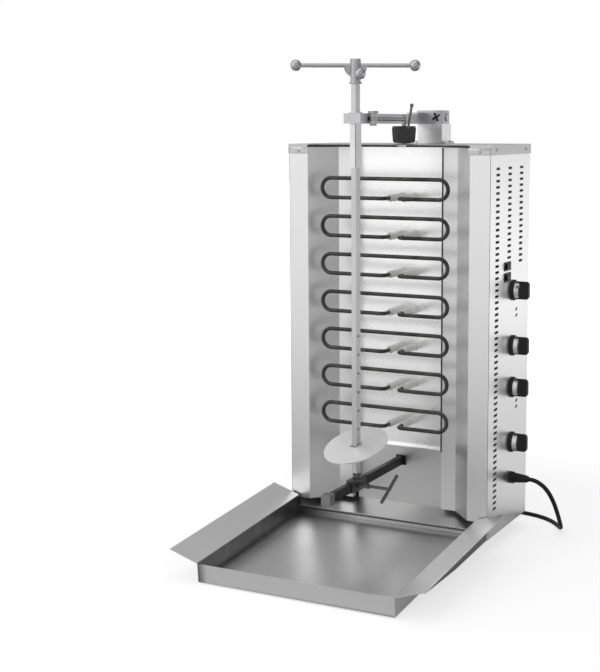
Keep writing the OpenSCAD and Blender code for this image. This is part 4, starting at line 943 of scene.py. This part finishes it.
def starArms(sizes):
    pattern = Pattern("thumbScrewArms", sizes)
    radius, depth, reach = pattern.size("ArmRadius"), pattern.size("Depth"), pattern.size("Reach")
    arm = pattern.rod(radius, depth, pattern.size("ArmSides"))
    stem = pattern.block(pattern.vector(reach, radius * pattern.size("StemWidth"),
                                        depth * pattern.size("StemDepth")))
    arm = pattern.joined(pattern.moved(arm, pattern.vector(reach)),
                         pattern.moved(stem, pattern.vector(reach * 0.5)))
    spokes = pattern.node("GeometryNodeMeshLine", None,
                          {"Count": pattern.size("Arms"), "Offset": (0.0, 0.0, 0.0)})
    angle = pattern.index() / pattern.size("Arms") * (2 * math.pi) + pattern.size("Turn")
    star = pattern.onPlaces(arm, pattern.vector(0.0, 0.0, angle), spokes)
    star = pattern.moved(star, tuple(place(*starSpot)), (quarterTurn, 0.0, 0.0))
    return pattern.make(star, materials["knobPlastic"], "upper_unit")


for name, (body, material, spot, axis, outline) in fittings.items():
    turned(name, body, outline, spot, materials[material], axis)
starArms(starScrew)
print("small fittings made")

# Mains cord: the same route and coil as its solids, then a short lead to the plug
mainsCord = {
    "diameter": 9.0,
    "route": [
        (263.5, 134, 127), (275, 134, 126), (286, 134, 122), (297, 134, 115), (306, 135, 105), (313, 138, 92),
        (318, 143, 77), (321, 150, 61), (322, 160, 45), (321, 173, 30), (318, 188, 18), (312, 205, 10),
        (303, 223, 5.5), (290, 241, 4.5), (273, 258, 4.5), (252, 272, 4.5), (228, 282, 4.5), (200, 288, 4.5),
        (170, 290, 4.5), (140, 290, 4.5), (110, 290, 4.5), (80, 290, 4.5),
    ],
    "lead": [(20, 410.8, 14), (30, 410.8, 13.5), (40, 410.8, 12.2), (52, 410.8, 10.4), (64, 410.8, 9.3),
             (76, 410.8, 9), (88, 410.8, 9)],
    "coilMiddle": (0, 350.4),
    "innerRadius": 39.0,
    "pitch": 9.5,
    "turns": 4.5,
    "climbTurns": 0.5,
    "lowHeight": 4.5,
    "pointsPerTurn": 24,
    "smoothParts": 3,
    "roundness": 4,
}


# The coil winds inwards on the ground, climbs by one layer and winds outwards on top
def coilPoint(cord, turn):
    half = cord["turns"] / 2
    angle = math.radians(-90 - 360 * turn)
    radius = cord["innerRadius"] + cord["pitch"] * abs(turn - half)
    climb = max(0.0, min(1.0, (turn - half) / cord["climbTurns"] + 0.5))
    rise = climb * climb * (3 - 2 * climb)
    x, depth = cord["coilMiddle"]
    height = cord["lowHeight"] + cord["pitch"] * rise
    return (x + radius * math.cos(angle), depth + radius * math.sin(angle), height)


def cordLine(cord):
    steps = int(cord["turns"] * cord["pointsPerTurn"])
    first, last = coilPoint(cord, 0), coilPoint(cord, cord["turns"])
    line = list(cord["route"]) + [(first[0] + cord["diameter"], first[1], first[2])]
    line += [coilPoint(cord, step / cord["pointsPerTurn"]) for step in range(steps + 1)]
    line += [(last[0] + cord["diameter"], last[1], last[2])] + cord["lead"]
    return [place(*point) for point in line]


def cordCurve(name, points, cord, material):
    data = bpy.data.curves.new(name, "CURVE")
    data.dimensions = "3D"
    data.bevel_depth = cord["diameter"] / 2000
    data.bevel_resolution = cord["roundness"]
    data.use_fill_caps = True
    spline = data.splines.new("POLY")
    spline.points.add(len(points) - 1)
    for spot, point in zip(spline.points, points):
        spot.co = (*point, 1)
    data.materials.append(material)
    made = bpy.data.objects.new(name, data)
    scene.collection.objects.link(made)
    return made


# A smooth curve through all points, each stretch cut into parts
def smoothLine(points, parts):
    line = []
    for i in range(len(points) - 1):
        before, start = points[max(i - 1, 0)], points[i]
        end, after = points[i + 1], points[min(i + 2, len(points) - 1)]
        square = 2 * before - 5 * start + 4 * end - after
        cube = 3 * start - before - 3 * end + after
        for part in range(parts):
            t = part / parts
            line.append(0.5 * (2 * start + (end - before) * t + square * t ** 2 + cube * t ** 3))
    return line + [points[-1]]


# Cable tie round the coil, on its right side: a flat loop and its head
coilTie = {
    "width": 6.0,
    "thickness": 0.9,
    "corner": 4.5,
    "cornerSteps": 6,
    "floorGap": 0.05,
    "head": (4.6, 7.0, 8.0),
    "headEdge": 0.8,
}


# The outline of a square with round corners, about its middle
def tieOutline(half, corner, steps):
    spots = []
    for quarter in range(4):
        start = quarterTurn * quarter
        across = (half - corner) * math.sqrt(2)
        middle = (across * math.cos(start + quarterTurn / 2), across * math.sin(start + quarterTurn / 2))
        angles = [start + quarterTurn * step / steps for step in range(steps + 1)]
        spots += [(middle[0] + corner * math.cos(angle), middle[1] + corner * math.sin(angle))
                  for angle in angles]
    return spots


def tieLoop(cord, tie):
    inner = (cord["pitch"] + cord["diameter"]) / 2
    outer = inner + tie["thickness"]
    x, depth = cord["coilMiddle"]
    x += cord["innerRadius"] + cord["pitch"]
    height = cord["lowHeight"] + cord["pitch"] / 2
    shell = bmesh.new()
    loops = []
    for half, side in ((outer, -1), (outer, 1), (inner, 1), (inner, -1)):
        lowest = tie["floorGap"] + outer - half
        outline = tieOutline(half, tie["corner"] + half - inner, tie["cornerSteps"])
        edge = depth + side * tie["width"] / 2
        loops.append([shell.verts.new(place(x + across, edge, max(height + up, lowest)))
                      for across, up in outline])
    count = len(loops[0])
    for near, far in zip(loops, loops[1:] + loops[:1]):
        for i in range(count):
            shell.faces.new((near[i], near[(i + 1) % count], far[(i + 1) % count], far[i]))
    bmesh.ops.recalc_face_normals(shell, faces=shell.faces)
    band = shellPiece("coilTie", shell, blockEdges["creaseAngle"], materials["tiePlastic"])
    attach(band, "housing")
    out, wide, tall = tie["head"]
    head = roundedBlock("coilTieHead", "housing", (x + inner, depth - wide / 2, height - tall / 2),
                        (x + inner + out, depth + wide / 2, height + tall / 2), materials["tiePlastic"],
                        width=tie["headEdge"])
    return [band, head]


cordPoints = smoothLine(cordLine(mainsCord), mainsCord["smoothParts"])
cordLength = sum((b - a).length for a, b in zip(cordPoints, cordPoints[1:]))
cordPiece = cordCurve("mainsCord", cordPoints, mainsCord, materials["cordRubber"])
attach(cordPiece, "housing")
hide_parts("power_cord", "cord_coil", "cord_lead")
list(tieLoop(mainsCord, coilTie))
print("mains cord %.3f m" % cordLength)

# Floor and light: a white room for the camera. Near the machine, to its right and behind it the steel
# sees that white less bright
studio = {
    "floorReach": 30.0,
    "floorTone": 0.50,
    "floorCloudTone": 0.995,
    "floorClouds": {"scale": 1.5, "detail": 2},
    "floorRough": 0.9,
    "floorGlow": 0.68,
    "whiteSpan": (0.7, 2.4),
    "steelGlow": (0.12, 0.84),
    "steelSpan": (0.45, 3.6),
    "rightFloor": (0.0, 1.6),
    "rightFloorDepth": (-0.3, 0.5),
    "rearGlow": 0.42,
    "rearFloor": (0.2, 0.3),
    "rearFloorDepth": (0.1, 0.5),
    "airTone": 0.62,
    "rightShade": 0.50,
    "rightSky": (-0.1, 0.9),
    "rightSkyDepth": (0.3, 0.8),
    "rearSky": (0.0, 0.8),
    "rearShade": 0.64,
    "rearHeight": (0.0, 0.25),
    "horizonShade": 0.30,
    "horizonHeight": (0.03, 0.12),
    "lampAim": (0, 0, 0.45),
    "lamps": [
        ("keyPanel", (-1.9, -2.4, 2.3), 2.0, 14),
        ("fillPanel", (2.2, -1.9, 1.9), 1.8, 4),
        ("topPanel", (-0.2, -0.3, 3.1), 2.4, 9),
    ],
}


# One for rays of these kinds and nothing for the others
def rayIs(graph, *kinds):
    path = graph.node("ShaderNodeLightPath")
    rays = [Wire(graph, path.maker, path.maker.outputs.find(kind)) for kind in kinds]
    return rays[0] if len(rays) == 1 else rays[0].maths("MAXIMUM", rays[1])


def setFloor(look):
    data = bpy.data.meshes.new("floor")
    reach = look["floorReach"]
    data.from_pydata([(-reach, -reach, 0), (reach, -reach, 0), (reach, reach, 0), (-reach, reach, 0)], [],
                     [(0, 1, 2, 3)])
    floor = bpy.data.objects.new("floor", data)
    finish = Finish("floorPaint")
    tone = look["floorTone"]
    clouds = finish.mix(finish.noise(**look["floorClouds"]), grey(tone * look["floorCloudTone"]), grey(tone))
    finish.set(colour=clouds, roughness=look["floorRough"])
    away = finish.node("ShaderNodeVectorMath", {"operation": "LENGTH"}, {0: finish.coordinates}).at(1)
    spot = finish.split(finish.coordinates)
    right = finish.range(spot, *look["rightFloor"], 0.0, look["rightShade"])
    right = right * finish.range(spot.at(1), *look["rightFloorDepth"], 1.0, 0.0)
    rear = finish.range(spot, *look["rearFloor"], 0.0, look["rearGlow"])
    rear = rear * finish.range(spot.at(1), *look["rearFloorDepth"], 0.0, 1.0)
    seen = finish.range(away, *look["whiteSpan"], look["floorGlow"], 1.0)
    mirrored = finish.range(away, *look["steelSpan"], *look["steelGlow"])
    mirrored = (mirrored * (1.0 - right)).maths("MAXIMUM", rear)
    glow = seen * rayIs(finish, "Is Camera Ray", "Is Transmission Ray")
    glow = glow + mirrored * rayIs(finish, "Is Glossy Ray")
    finish.shader.inputs["Emission Color"].default_value = (1, 1, 1, 1)
    finish.feed(finish.shader.inputs["Emission Strength"], glow)
    data.materials.append(finish.material)
    scene.collection.objects.link(floor)


class Air(Graph):
    def __init__(self, name):
        scene.world = bpy.data.worlds.new(name)
        scene.world.use_nodes = True
        self.tree = scene.world.node_tree
        self.tree.nodes.clear()

    def blend(self, wire, low, high, first, last):
        return self.node("ShaderNodeMapRange", {"interpolation_type": "SMOOTHSTEP"},
                         {0: wire, 1: low, 2: high, 3: first, 4: last})


def setWorld(look):
    air = Air("studioAir")
    direction = air.split(air.node("ShaderNodeTexCoord").at(0))
    x, y, z = direction, direction.at(1), direction.at(2)
    rear = air.blend(y, *look["rearSky"], 0.0, 1.0)
    right = air.blend(x, *look["rightSky"], 0.0, look["rightShade"])
    level = 1.0 - right * air.blend(y, *look["rightSkyDepth"], 1.0, 0.0)
    level = level * (1.0 - rear * air.blend(z, *look["rearHeight"], 0.0, look["rearShade"]))
    level = level * (1.0 - rear * air.blend(z, *look["horizonHeight"], look["horizonShade"], 0.0))
    # Light that only falls on the object is weaker than the white that the camera and the steel see
    seen = rayIs(air, "Is Camera Ray", "Is Transmission Ray")
    mirrored = rayIs(air, "Is Glossy Ray")
    strength = seen + (1.0 - seen) * level * (mirrored + (1.0 - mirrored) * look["airTone"])
    background = air.node("ShaderNodeBackground", None, {0: (1.0, 1.0, 1.0), 1: strength})
    air.tree.links.new(background.socket, air.tree.nodes.new("ShaderNodeOutputWorld").inputs[0])


def setLamps(look):
    aim = Vector(look["lampAim"])
    for name, spot, size, power in look["lamps"]:
        data = bpy.data.lights.new(name, "AREA")
        data.size = size
        data.energy = power
        lamp = bpy.data.objects.new(name, data)
        lamp.location = spot
        lamp.rotation_euler = (aim - Vector(spot)).to_track_quat("-Z", "Y").to_euler()
        scene.collection.objects.link(lamp)


setFloor(studio)
setWorld(studio)
setLamps(studio)
scene.view_settings.view_transform = "Standard"
print("studio set")
